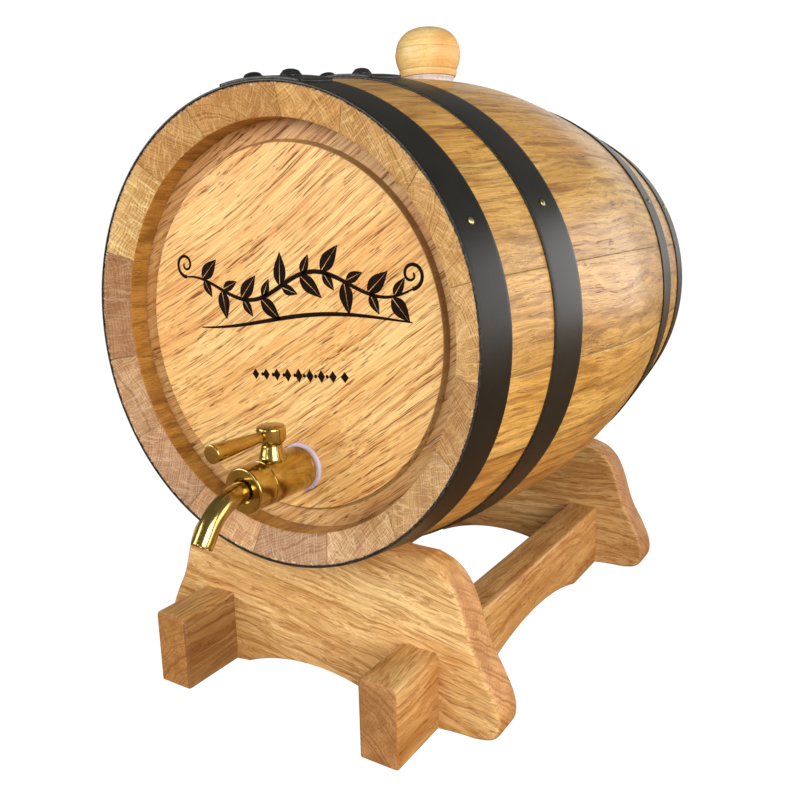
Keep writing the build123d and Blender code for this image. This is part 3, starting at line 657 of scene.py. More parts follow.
def end_profile(sign):
    """Outer corner to croze at one end, listed from the outside in; y is mirrored for the rear."""
    pts = [(R_HEAD - 0.05, FRONT + 0.28), (R_HEAD - 0.28, FRONT + 0.16)]
    for i in range(1, 11):
        t = i / 11.0
        r = R_HEAD - 0.6 - (R_HEAD - 0.6 - 101.2) * t
        pts.append((r, FRONT + 6.8 * (R_HEAD - r) / (R_HEAD - 100.4)))
    pts += [(100.95, FRONT + 6.62), (100.58, FRONT + 6.95), (100.42, FRONT + 7.5), (100.4, FRONT + 8.6),
            (100.4, FRONT + 11.5), (100.4, FRONT + 15.0), (100.4, FRONT + 17.9), (100.5, FRONT + 18.0),
            (104.7, FRONT + 18.0), (104.8, FRONT + 18.1), (104.8, FRONT + 23.3), (104.7, FRONT + 23.4),
            (100.5, FRONT + 23.4), (100.4, FRONT + 23.5), (101.3, FRONT + 34.0)]
    return [(r, y if sign < 0 else -y) for r, y in pts]


outer_line = [(outer_r(y), y) for y in ye]
front_line = end_profile(-1)
rear_line = end_profile(1)
inner_line = [(outer_r(y) - 16.0, y) for y in (-95.0, -60.0, -30.0, 0.0, 30.0, 60.0, 95.0)]
stave_profile = outer_line + rear_line + inner_line[::-1] + front_line[::-1]
stave_mask = [1.0 if (i < len(outer_line) or (102.0 < r < R_HEAD - 0.2 and abs(y) > HALF - 6.5)) else 0.0
              for i, (r, y) in enumerate(stave_profile)]

# tone, pink, pith direction (deg), pith distance (mm), grain seed
LOOK = {
    1: (0.08, 0.10, 205, 70, 12), 2: (-0.02, 0.10, 150, 85, 57), 3: (0.06, 0.15, 20, 95, 133),
    4: (0.10, 0.00, 120, 80, 211), 5: (-0.12, 0.10, 250, 75, 307), 6: (-0.06, 0.05, 60, 88, 401),
    7: (0.02, 0.10, 140, 90, 463), 8: (-0.16, 1.00, 182, 120, 521), 9: (0.02, 0.65, 215, 80, 607),
    10: (-0.08, 0.90, 170, 70, 691), 11: (0.08, 0.60, 250, 85, 743), 12: (-0.04, 1.00, 300, 78, 827),
    13: (0.10, 0.50, 330, 82, 911), 14: (-0.04, 0.30, 20, 90, 983), 15: (0.06, 0.20, 60, 76, 1051)}
SIDE = {1: 0.02, 2: -0.05, 3: 0.03, 4: -0.04, 5: 0.0, 6: -0.06, 7: 0.04, 8: -0.05, 9: 0.03, 10: -0.04, 11: 0.05,
        12: -0.02, 13: 0.06, 14: 0.06, 15: -0.07}
END_C = {1: (1.12, 1.28, 1.38), 2: (1.26, 1.42, 1.46), 3: (1.13, 1.29, 1.36), 4: (1.05, 1.13, 1.15),
         5: (1.03, 1.03, 0.98), 6: (0.97, 1.01, 1.02), 7: (1.11, 1.36, 1.52), 8: (1.06, 1.15, 1.08),
         9: (0.94, 1.06, 1.20), 10: (1.22, 1.40, 1.54), 11: (1.08, 1.15, 1.18), 12: (1.11, 1.28, 1.26),
         13: (1.07, 1.24, 1.42), 14: (1.08, 1.22, 1.36), 15: (0.86, 0.90, 0.90)}
# painted light and shade on the outer faces of staves 1 to 4, 14 and 15: whiter on 1 and 2 for sheen, lighter on 15 for
# light from below, darker on 3 and 4
SIDE_PAINTED_LIGHT = {1: (0.92, 0.97, 1.06), 2: (0.98, 1.08, 1.20), 3: (0.88, 0.88, 0.80), 4: (0.92, 0.92, 0.84),
          14: (1.02, 0.96, 0.85), 15: (1.28, 1.36, 1.38)}
wv = np.array([rng.uniform(0, 6.28) for _ in range(64)])

for k in range(15):
    a0 = SEAMS[k]
    a1 = SEAMS[(k + 1) % 15]
    if a1 < a0:
        a1 += 360.0
    gap = 0.012
    V, F = sweep_profile(stave_profile, a0 + gap, a1 - gap, max(12, int((a1 - a0) * 1.1)), inset=0.24,
                         mask=stave_mask)
    # the outer edge of the end grain is a little ragged
    rr, aa = polar(V)
    edge = (rr > R_HEAD - 1.4) & (np.abs(np.abs(V[:, 1]) - HALF) < 1.6)
    jag = 0.22 * np.sin(aa * 3.1 + wv[k]) + 0.16 * np.sin(aa * 7.7 + wv[k + 15]) + 0.12 * np.sin(aa * 19.0 + wv[k + 30])
    sg = np.sign(V[:, 1])
    V[:, 1] = np.where(edge, V[:, 1] - sg * np.abs(jag) * 0.9, V[:, 1])
    name = "stave_%02d" % (k + 1)
    ob = build("oak_" + name, V, F, M_STAVE, "barrel", [name])
    if a0 < 90 < a1:
        zt = AZ + R_BILGE
        cv, cf = lathe([(0, zt + 8), (14.85 + 0.64 + 0.06, zt + 8), (14.85 - 3.2 + 0.06, zt - 40), (0, zt - 40)],
                       centre=(KX, KY, 0), seg=96)
        cut(ob, cv, cf)
        ob.data.polygons.foreach_set("use_smooth", np.ones(len(ob.data.polygons), bool))
        ob.data.set_sharp_from_angle(angle=math.radians(32))
    tone, pink, pa, pd, seed = LOOK[k + 1]
    am = (a0 + a1) / 2

    def wfun(P, am=am, pa=pa, pd=pd, seed=seed):
        r, a = polar(P)
        a = (a - am + 180.0) % 360.0 - 180.0
        x = r - rout(P[:, 1])
        y = np.radians(a) * 115.0
        # the board's own frame, x outwards; the pith lies pd away in direction pa
        rel = math.radians(pa - am)
        return np.stack([x - pd * math.cos(rel) + 0.02 * P[:, 1], y - pd * math.sin(rel), P[:, 1] + seed * 7.3], 1)

    def tfun(P, N, C, tone=tone, pink=pink, a0s=a0, a1s=a1, side_tone=SIDE[k + 1]):
        r, a = polar(P)
        ed = np.full(len(P), 99.0)
        facing = np.abs(N[:, 1])
        end = facing > 0.5
        on_edge = (r > 100.0) & (np.abs(P[:, 1]) > HALF - 8)
        ed = np.where(on_edge & end, np.abs(R_HEAD - r), ed)
        ed = np.where(on_edge & ~end & (r > 113.5), 0.4, ed)
        t = np.full(len(P), tone)
        inner = (r < 100.8) & (~end)
        wall = inner & (np.abs(P[:, 1]) > HALF - 20)
        seam = np.minimum(np.abs((a - a0s + 180) % 360 - 180), np.abs((a - a1s + 180) % 360 - 180)) * 2.1
        dark = np.exp(-(seam / 0.35) ** 2)
        t = np.where((~end) & (r > 101), side_tone - 0.30 * dark, t)
        t = np.where(end, t - 0.10 * dark, t)
        # painted shade: the chime wall is darker, darker still deeper in the chime, and the barrel's inside darker
        # again
        t = np.where(wall, -0.20 - 0.10 * (np.abs(P[:, 1]) < HALF - 16.5), t)
        t = np.where(inner & (np.abs(P[:, 1]) < HALF - 23), -0.35, t)
        p = np.where(end, pink, pink * 0.10)
        # darker in the joint between two staves
        return np.stack([t, p, ed], 1)

    def cfun(P, N, ec=np.array(END_C.get(k + 1, (1, 1, 1)), float), sc=np.array(SIDE_PAINTED_LIGHT.get(k + 1, (1, 1, 1)), float)):
        r, a = polar(P)
        # end faces take END_C; outer faces take the per-stave painted light and shade
        c = np.where((np.abs(N[:, 1]) > 0.5)[:, None], ec, sc)
        # painted shade and bounce light: the chime wall and the barrel's inside get a darker, more orange colour
        inner = (r < 100.8) & (np.abs(N[:, 1]) <= 0.5)
        return np.where(inner[:, None], np.array([0.95, 0.86, 0.64]), c)

    dress(ob.data, wfun, tfun, cfun=cfun)


# ------------------------------------------------------------------ heads
def head_profile(sign):
    f, a, b = Y_FIELD, FRONT + 18.0, Y_FIELD + 18.0
    pts = [(0, f)] + [(r, f) for r in (12, 25, 38, 50, 61, 71, 80, 86, 89.0)]
    pts += [(89.7, f + 0.06), (90.05, f + 0.35), (90.25, f + 0.8), (91.3, a - 0.35), (91.62, a - 0.04),
            (92.4, a), (94.5, a), (97.5, a), (99.8, a), (104.4, a), (104.4, a + 5.2), (99.2, a + 5.3),
            (90.0, b), (60, b), (30, b), (0, b)]
    return [(r, y if sign < 0 else -y) for r, y in pts]


def head(prefix, sign, angle, tones):
    V, F = lathe(head_profile(sign), axis="y", centre=(AX, 0, AZ), seg=240)
    base = bpy.data.meshes.new("disc")
    base.from_pydata((V * MM).tolist(), [], F)
    lims = (-140.0, -47.0, 0.0, 47.0, 140.0)
    ca, sa = math.cos(math.radians(angle)), math.sin(math.radians(angle))
    up = np.array([-sa, 0, ca])
    for i in range(4):
        bm = bmesh.new()
        bm.from_mesh(base)
        for lim, inner in ((lims[i], True), (lims[i + 1], False)):
            if abs(lim) > 130:
                continue
            off = lim + (0.012 if inner else -0.012)
            co = (np.array([AX, 0, AZ]) + up * off) * MM
            geom = bm.verts[:] + bm.edges[:] + bm.faces[:]
            res = bmesh.ops.bisect_plane(bm, geom=geom, plane_co=co, plane_no=up, dist=1e-7,
                                         clear_inner=inner, clear_outer=not inner)
            cutedges = [e for e in res["geom_cut"] if isinstance(e, bmesh.types.BMEdge)]
            bmesh.ops.edgeloop_fill(bm, edges=cutedges)
        bmesh.ops.recalc_face_normals(bm, faces=bm.faces)
        name = "%s_board_%d" % (prefix, i + 1)
        me = bpy.data.meshes.new("oak_" + name)
        bm.to_mesh(me)
        bm.free()
        ob = finish_mesh("oak_" + name, me, M_HEAD, "barrel", [name])
        if sign < 0:
            clo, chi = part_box(name)
            if clo[0] * 1000 - 9 < TX < chi[0] * 1000 + 9 and i in (0, 1):
                cv, cf = lathe([(0, Y_FIELD - 5), (8.2, Y_FIELD - 5), (8.2, Y_FIELD + 26), (0, Y_FIELD + 26)],
                               axis="y", centre=(TX, 0, TZ), seg=64)
                cut(ob, cv, cf)
                ob.data.polygons.foreach_set("use_smooth", np.ones(len(ob.data.polygons), bool))
                ob.data.set_sharp_from_angle(angle=math.radians(32))
        tone, pink = tones[i]
        curve = 0.00142 if sign < 0 else 0.0008
        mid = (lims[i] + lims[i + 1]) / 2 if 0 < i < 3 else (-70 if i == 0 else 70)

        def wfun(P, i=i, mid=mid):
            x, z = P[:, 0] - AX, P[:, 2] - AZ
            u = -sa * x + ca * z - 0.5 * curve * x * x * (1 if sign < 0 else -1)
            w = ca * x + sa * z
            d = P[:, 1] - Y_FIELD
            return np.stack([u - mid + (170.0 if i % 2 else -150.0) + 0.03 * w, d + 60.0 + 0.02 * w,
                             w + 173.0 * (i + 1) + (0 if sign < 0 else 900)], 1)

        def tfun(P, N, C, tone=tone, pink=pink):
            r, a = polar(P)
            t = np.full(len(P), tone)
            y = np.abs(P[:, 1])
            # the step is dark: partly a stain in the cut, partly painted shade under the chime wall
            step = (np.abs(N[:, 1]) < 0.8) & (r > 89.8) & (r < 92)
            t = np.where(step, -0.44, t)
            # painted shade: the ring round the head is darker, darkest against the chime wall
            ring = (r > 91.5) & (y > HALF - 18.6)
            t = np.where(ring & ~step, tone - 0.08 - 0.10 * np.clip((r - 97.5) / 2.0, 0, 1), t)
            pk = np.where(ring & ~step, 0.42, pink)
            return np.stack([t, pk, np.full(len(P), 99.0)], 1)

        dress(ob.data, wfun, tfun, gdir=(ca, 0, sa))
    bpy.data.meshes.remove(base)


head("front_head", -1, 33.0, [(-0.035, 0.03), (-0.01, 0.0), (0.015, 0.0), (0.03, 0.0)])
head("rear_head", 1, 147.0, [(-0.02, 0.02), (0.01, 0.0), (-0.03, 0.0), (0.02, 0.0)])


# ------------------------------------------------------------------ hoops, rivets, nails
def band_profile(a, b, lift, thick, rnd=0.32, n=12):
    """Closed (radius, y) section of a hoop lying on the barrel, edges rounded."""
    top = []
    for i in range(n + 1):
        y = a + (b - a) * i / n
        top.append((outer_r(y) + lift + thick, y))
    low = [(outer_r(b) + lift, b)] + [(outer_r(a + (b - a) * i / 4) + lift, a + (b - a) * i / 4) for i in (3, 2, 1)] + \
          [(outer_r(a) + lift, a)]
    return soften(top + low, rnd, 3, closed=True)


def edge_attr(ob, a, b, rnd=1.0):
    P = coords(ob.data)
    r, ang = polar(P)
    d = np.minimum(np.abs(P[:, 1] - a), np.abs(P[:, 1] - b))
    e = np.clip(1.0 - d / rnd, 0, 1)
    add_attr(ob.data, "EDGE", "FLOAT", "POINT", e)


def strap(a, b, lap, lift, thick):
    """The lapped end: follows the hoop, with rounded corners and a slight step at each end."""
    V, F, sts = [], [], []
    n = 26
    for i in range(n + 1):
        t = i / n
        ang = lap[0] + (lap[1] - lap[0]) * t
        end = min(t, 1 - t) * (lap[1] - lap[0]) * math.radians(1) * 120.0    # mm from the end
        sts.append((ang, end))
    extra = []
    for e in (0.0, 0.15, 0.4, 0.9, 1.6, 2.6):
        da = math.degrees(e / 120.0)
        extra += [(lap[0] + da, e), (lap[1] - da, e)]
    sts = sorted(set(extra + [s for s in sts if s[1] > 3.0]))
    M = None
    for ang, e in sts:
        q = max(0.0, 1 - min(e, 2.6) / 2.6)
        nar = 2.6 * (1 - math.sqrt(max(0.0, 1 - q * q)))          # rounded corners in plan
        low = 0.45 * max(0.0, 1 - min(e, 0.9) / 0.9) ** 2          # softened end
        prof = band_profile(a + nar, b - nar, lift, thick - low)
        M = len(prof)
        c, s = math.cos(math.radians(ang)), math.sin(math.radians(ang))
        for r, y in prof:
            V.append((AX + r * c, y, AZ + r * s))
    for i in range(len(sts) - 1):
        for k in range(M):
            l = (k + 1) % M
            F.append((i * M + k, (i + 1) * M + k, (i + 1) * M + l, i * M + l))
    F.append(tuple(range(M)))
    F.append(tuple((len(sts) - 1) * M + k for k in range(M))[::-1])
    return np.array(V), F


def joined(chunks):
    V, F, n = [], [], 0
    for v, f in chunks:
        V.append(v)
        F += [tuple(i + n for i in q) for q in f]
        n += len(v)
    return np.vstack(V), F


for name, (a, b) in HOOPS.items():
    band = sweep_profile(band_profile(a + 0.02, b - 0.02, 0.02, 0.98), 0, 360, 300, full=True)
    lap = strap(a + 0.02, b - 0.02, LAPS[name], 0.9, 1.28)
    V, F = joined([band, lap])
    ob = build("iron_" + name, V, F, M_HOOP, "barrel", [name])
    edge_attr(ob, a, b, 0.75)


def on_hoop(V, y, angle, r0):
    """Moves a lathe built about +Z to stand on the barrel at (y, angle)."""
    ca, sa = math.cos(math.radians(angle)), math.sin(math.radians(angle))
    slope = (outer_r(y + 0.5) - outer_r(y - 0.5))
    n = np.array([ca, -slope, sa])
    n /= np.linalg.norm(n)
    t1 = np.array([-sa, 0, ca])
    t2 = np.cross(n, t1)
    o = np.array([AX + r0 * ca, y, AZ + r0 * sa])
    return o + V[:, :1] * t1 + V[:, 1:2] * t2 + V[:, 2:3] * n


chunks = []
for name, (a, b) in HOOPS.items():
    for ang in RIVETS[name]:
        y = (a + b) / 2
        pr = [(0, -0.6), (4.4, -0.6), (4.95, -0.2), (5.0, 0.25), (4.85, 0.6), (4.45, 0.92), (4.22, 1.1)]
        for i in range(1, 12):
            t = math.radians(90.0 * i / 12)
            pr.append((4.18 * math.cos(t), 1.05 + 1.75 * math.sin(t)))
        pr.append((0, 2.8))
        v, f = lathe(pr, seg=48)
        chunks.append((on_hoop(v, y, ang, outer_r(y) + 2.18), f))
V, F = joined(chunks)
build("iron_hoop_rivets", V, F, M_RIVET, "barrel", ["hoop_rivets"], sharp=50)

chunks = []
for name, (a, b) in HOOPS.items():
    for ang in NAILS[name]:
        y = (a + b) / 2
        pr = [(0, -0.5), (1.5, -0.5), (1.75, 0.0), (1.8, 0.16), (1.68, 0.36), (1.38, 0.6), (0.95, 0.78), (0.5, 0.87),
              (0, 0.9)]
        v, f = lathe(pr, seg=32)
        chunks.append((on_hoop(v, y, ang, outer_r(y) + 1.0), f))
V, F = joined(chunks)
build("brass_hoop_nails", V, F, M_NAIL, "barrel", ["hoop_nails"], sharp=50)

# ------------------------------------------------------------------ bung
ZT = float(k_hi[2])
zb = ZT - 28.1


def smooth_line(pts, per=6):
    """Catmull-Rom through (r, z) points."""
    P = [np.array(p, float) for p in pts]
    out = []
    for i in range(len(P) - 1):
        p0, p1, p2, p3 = P[max(0, i - 1)], P[i], P[i + 1], P[min(len(P) - 1, i + 2)]
        for k in range(per):
            t = k / per
            q = 0.5 * ((2 * p1) + (-p0 + p2) * t + (2 * p0 - 5 * p1 + 4 * p2 - p3) * t * t
                       + (-p0 + 3 * p1 - 3 * p2 + p3) * t ** 3)
            out.append((max(0.0, float(q[0])), float(q[1])))
    out.append((float(P[-1][0]), float(P[-1][1])))
    return out


foot = [(0, zb - 19.0), (7.9, zb - 19.0), (7.9, zb), (15.9, zb), (16.35, zb + 0.12), (16.7, zb + 0.55)]
lower = smooth_line([(16.9, zb + 1.6), (17.2, zb + 2.6), (17.25, zb + 3.2)], 3)
groove1 = [(17.1, zb + 3.5), (16.92, zb + 3.75), (17.12, zb + 4.02)]
belly = smooth_line([(17.4, zb + 4.5), (18.1, zb + 6.2), (18.85, zb + 8.4), (19.35, zb + 11.2), (19.38, zb + 13.2),
                     (19.15, zb + 15.0)], 5)
groove2 = [(18.98, zb + 15.32), (18.74, zb + 15.6), (18.88, zb + 15.95)]
dome = smooth_line([(18.85, zb + 16.4), (18.3, zb + 18.6), (17.2, zb + 20.8), (15.4, zb + 23.2), (12.8, zb + 25.4),
                    (9.6, zb + 26.9), (5.6, zb + 27.8), (0, zb + 28.1)], 5)
V, F = lathe(foot + lower + groove1 + belly + groove2 + dome, centre=(KX, KY, 0), seg=128)
ob = build("turned_bung_knob", V, F, M_KNOB, "bung", ["bung_knob"], sharp=40)


def knob_t(P, N, C):
    z = P[:, 2] - zb
    g = np.exp(-((z - 3.75) / 0.34) ** 2) + np.exp(-((z - 15.6) / 0.34) ** 2)
    # darker in the two grooves; painted shade: darker towards the top of the dome
    t = -0.22 * np.clip(g, 0, 1) - 0.03 - 0.22 * np.clip((z - 17.0) / 10.0, 0, 1)
    return np.stack([t, np.zeros(len(P)), np.full(len(P), 99.0)], 1)


dress(ob.data, lambda P: np.stack([P[:, 2] - zb + 34.0, P[:, 1] - KY + 9.0, P[:, 0] - KX + 40.0], 1), knob_t,
      gdir=(1, 0, 0))

zt = AZ + R_BILGE


def taper(z):
    return 14.85 - (zt - z) * 0.08


seal = [(7.95, zb - 0.02), (15.3, zb - 0.02), (15.62, zb - 0.15), (15.7, zb - 0.5), (15.5, zb - 0.9), (15.1, zb - 1.5),
        (taper(zt + 0.6), zt + 0.6)]
for i in range(7):                                    # moulded ribs along the plug
    z0 = zt - 1.2 - i * 3.0
    seal += [(taper(z0 + 0.3) - 0.02, z0 + 0.3), (taper(z0) - 0.35, z0), (taper(z0 - 0.7) - 0.35, z0 - 0.7),
             (taper(z0 - 1.0) - 0.02, z0 - 1.0)]
seal += [(taper(zt - 22), zt - 22), (taper(zt - 22) - 0.5, zt - 23.1), (taper(zt - 22) - 1.5, zt - 23.5),
         (7.95, zt - 23.5)]
V, F = lathe(soften(seal, 0.15, 2), centre=(KX, KY, 0), seg=96)
build("moulded_bung_seal", V, F, M_SEAL, "bung", ["bung_seal"], sharp=50)

# ------------------------------------------------------------------ tap
YW = Y_FIELD - 1.6
YJ = float(n_hi[1]) - 3.6                     # joint of nozzle and body
YN = float(n_lo[1])
RB = 11.1
body_prof = [(0, YW + 32), (7.85, YW + 32), (7.85, YW + 0.1), (9.6, YW), (10.35, YW - 0.22), (10.8, YW - 0.6),
             (11.02, YW - 1.1), (11.1, YW - 1.7), (11.04, YW - 2.3), (10.86, YW - 2.75), (10.78, YW - 3.1),
             (10.84, YW - 3.5), (11.0, YW - 3.8), (11.1, YW - 4.2), (11.1, YW - 9), (11.1, YJ + 8), (11.1, YJ + 0.55),
             (10.98, YJ + 0.22), (10.72, YJ + 0.06), (10.55, YJ), (0, YJ)]
V, F = lathe(body_prof, axis="y", centre=(TX, 0, TZ), seg=128)
build("brass_tap_body", V, F, M_BRASS, "barrel", ["tap_body"], sharp=35)

nose = [(0, YJ - 0.02), (10.55, YJ - 0.02), (10.75, YJ - 0.1), (10.98, YJ - 0.3), (11.1, YJ - 0.65), (11.1, YJ - 5),
        (11.1, YN + 0.95), (11.02, YN + 0.5), (10.8, YN + 0.2), (10.4, YN + 0.03), (9.9, YN), (7.0, YN + 0.02),
        (6.35, YN + 0.06), (6.08, YN + 0.28), (6.0, YN + 0.7), (6.0, YN + 2.1), (5.0, YN + 2.25), (0, YN + 2.25)]
V, F = lathe(nose, axis="y", centre=(TX, 0, TZ), seg=128)
build("brass_tap_nozzle", V, F, M_BRASS, "barrel", ["tap_nozzle"], sharp=35)

# bent spout tube
ang = math.radians(54.0)
path = []
y1 = -191.0 - (-189.5) + YN
for i in range(4):
    path.append(((y1 + 9.0) - 9.0 * i / 3.0, 0.0, 0.0))
for i in range(1, 49):
    t = ang * i / 48
    path.append((y1 - 27.0 * math.sin(t), -27.0 * (1 - math.cos(t)), t))
ly, lz, lt = path[-1]
for i in range(1, 9):
    path.append((ly - i * math.cos(ang), lz - i * math.sin(ang), lt))
SEG = 64
V, F, rings = [], [], []


def tube_ring(y, z, t, r):
    idx = []
    for i in range(SEG):
        a = 2 * math.pi * i / SEG
        cx, cn = r * math.cos(a), r * math.sin(a)
        idx.append(len(V))
        V.append((TX + cx, y - cn * math.sin(t), TZ + z + cn * math.cos(t)))
    return idx


for y, z, t in path[:-1]:
    rings.append(tube_ring(y, z, t, 5.1))
ey, ez, et = path[-1]


def back(d):
    return ey + d * math.cos(ang), ez + d * math.sin(ang)


for d, r in ((0.55, 5.1), (0.28, 5.04), (0.1, 4.92), (0.0, 4.72), (0.0, 4.32), (0.1, 4.12), (0.3, 4.02), (0.8, 4.0)):
    yy, zz = back(d)
    rings.append(tube_ring(yy, zz, et, r))
for y, z, t in path[-3::-4]:
    rings.append(tube_ring(y, z, t, 4.0))
for a, b in zip(rings, rings[1:]):
    for i in range(SEG):
        j = (i + 1) % SEG
        F.append((a[i], a[j], b[j], b[i]))
F.append(tuple(rings[0]))
F.append(tuple(rings[-1]))
build("brass_spout_tube", V, F, M_BRASS, "barrel", ["spout_tube"], sharp=40)

# bonnet with a turned flare and a foot bead
zc = TZ
bon = [(0, zc + 7.6), (6.35, zc + 7.6), (6.6, zc + 8.2), (6.6, zc + 10.6), (6.52, zc + 10.95), (6.3, zc + 11.3)]
bon += smooth_line([(6.25, zc + 11.5), (6.0, zc + 12.7), (5.62, zc + 14.2), (5.3, zc + 15.6), (5.12, zc + 16.6)], 5)
bon += [(5.06, zc + 16.95), (4.85, zc + 17.2), (3.6, zc + 17.22), (3.6, zc + 9.0), (0, zc + 9.0)]
V, F = lathe(bon, centre=(SX, SY, 0), seg=96)
build("brass_tap_bonnet", V, F, M_BRASS, "barrel", ["tap_bonnet"], sharp=40)

hz = float(u_lo[2])
hub = [(0, hz + 0.02), (5.0, hz + 0.02), (5.25, hz + 0.1), (5.5, hz + 0.32), (6.7, hz + 1.52), (6.95, hz + 1.8), (7.08, hz + 2.2),
       (7.1, hz + 2.7), (7.1, hz + 7.0), (7.06, hz + 7.5), (6.92, hz + 8.0), (6.66, hz + 8.35), (6.2, hz + 8.6),
       (5.2, hz + 8.85), (4.0, hz + 9.05), (2.0, hz + 9.2), (0, hz + 9.25)]
V, F = lathe(hub, centre=(SX, SY, 0), seg=96)
build("brass_tap_hub", V, F, M_BRASS, "tap_handle", ["tap_hub"], sharp=40)

LZ = float(l_lo[2] + l_hi[2]) / 2
LT = float(l_lo[1])
lev = [(0, SY - 4.0), (2.3, SY - 4.0), (2.42, SY - 7.2), (2.55, SY - 8.6)]
for i in range(1, 9):
    t = i / 8
    lev.append((2.55 + (4.4 - 2.55) * t, (SY - 8.6) + (LT + 0.9 - (SY - 8.6)) * t))
lev += [(4.45, LT + 0.6), (4.39, LT + 0.32), (4.23, LT + 0.1), (3.95, LT), (3.0, LT + 0.02), (0, LT + 0.03)]
V, F = lathe(lev, axis="y", centre=(SX, 0, LZ), seg=80)
build("brass_tap_lever", V, F, M_BRASS, "tap_handle", ["tap_lever"], sharp=40)

wa = [(8.0, YW), (11.4, YW), (11.9, YW + 0.08), (12.25, YW + 0.32), (12.4, YW + 0.7), (12.4, Y_FIELD - 0.25),
      (12.3, Y_FIELD - 0.02), (8.0, Y_FIELD - 0.02)]
V, F = lathe(wa, axis="y", centre=(TX, 0, TZ), seg=96)
build("moulded_tap_washer", V, F, M_WASH, "barrel", ["tap_washer_outer"], sharp=50)


# ------------------------------------------------------------------ cradles
def catmull(pts, step=1.4):
    P = [np.array(p, float) for p in pts]
    out = []
    for i in range(len(P) - 1):
        p0, p1, p2, p3 = P[max(0, i - 1)], P[i], P[i + 1], P[min(len(P) - 1, i + 2)]
        n = max(2, int(np.linalg.norm(p2 - p1) / step))
        for k in range(n):
            t = k / n
            out.append(0.5 * ((2 * p1) + (-p0 + p2) * t + (2 * p0 - 5 * p1 + 4 * p2 - p3) * t * t
                              + (-p0 + 3 * p1 - 3 * p2 + p3) * t ** 3))
    out.append(P[-1])
    return [tuple(float(c) for c in q) for q in out]


CURVE = [(99.0, 0), (107.1, 2.2), (111.8, 8.0), (112.7, 14.6), (110.9, 22.6), (105.4, 34.2), (100.0, 43.8),
         (96.4, 53.2), (93.6, 62.6), (90.4, 71.4), (85.8, 79.4), (79.0, 85.4), (70.0, 89.0)]


def seg_pts(a, b, n):
    return [(a[0] + (b[0] - a[0]) * i / n, a[1] + (b[1] - a[1]) * i / n) for i in range(n)]


def cradle_outline(seat_r, n0, n1):
    """Half outline from the middle of the foot arch round to the middle of the seat, with the rail's notch
    from n0 to n1: point, edge-rounding weight."""
    w, rise = 50.0, 11.0
    rr = (w * w + rise * rise) / (2 * rise)
    out = []
    for i in range(24):
        x = w * i / 24
        z = math.sqrt(rr * rr - x * x) - (rr - rise)
        out.append(((x, z), 0.45))
    out += [(p, q) for p, q in zip(seg_pts((50, 0), (n0, 0), 5), (0.45, 0.40, 0.32, 0.2, 0.08))]
    out += [(p, 0.0) for p in seg_pts((n0, 0), (n0, 21), 6)]
    out += [(p, 0.0) for p in seg_pts((n0, 21), (n1, 21), 6)]
    out += [(p, 0.0) for p in seg_pts((n1, 21), (n1, 0), 6)]
    out += [((n1, 0), 0.0)]
    out += [(p, min(0.75, 0.08 + 0.09 * j)) for j, p in enumerate(seg_pts((n1 + 0.6, 0), (99, 0), 10))]
    out += [(p, 1.0) for p in catmull(CURVE)]
    xs = math.sqrt(seat_r * seat_r - (AZ - 89.0) ** 2)
    flat = seg_pts((70, 89), (xs, 89), 12)
    out += [(p, 1.0 - max(0.0, (j - 7) / 5.0) * 0.8) for j, p in enumerate(flat)][1:]
    a0 = math.asin(xs / seat_r)
    for i in range(0, 33):
        a = a0 * (1 - i / 32.0)
        out.append(((seat_r * math.sin(a), AZ - seat_r * math.cos(a)), 0.0))
    return out


NOTCH_R = (float(r1_lo[0]), float(r1_hi[0]))
NOTCH_L = (-float(r0_hi[0]), -float(r0_lo[0]))


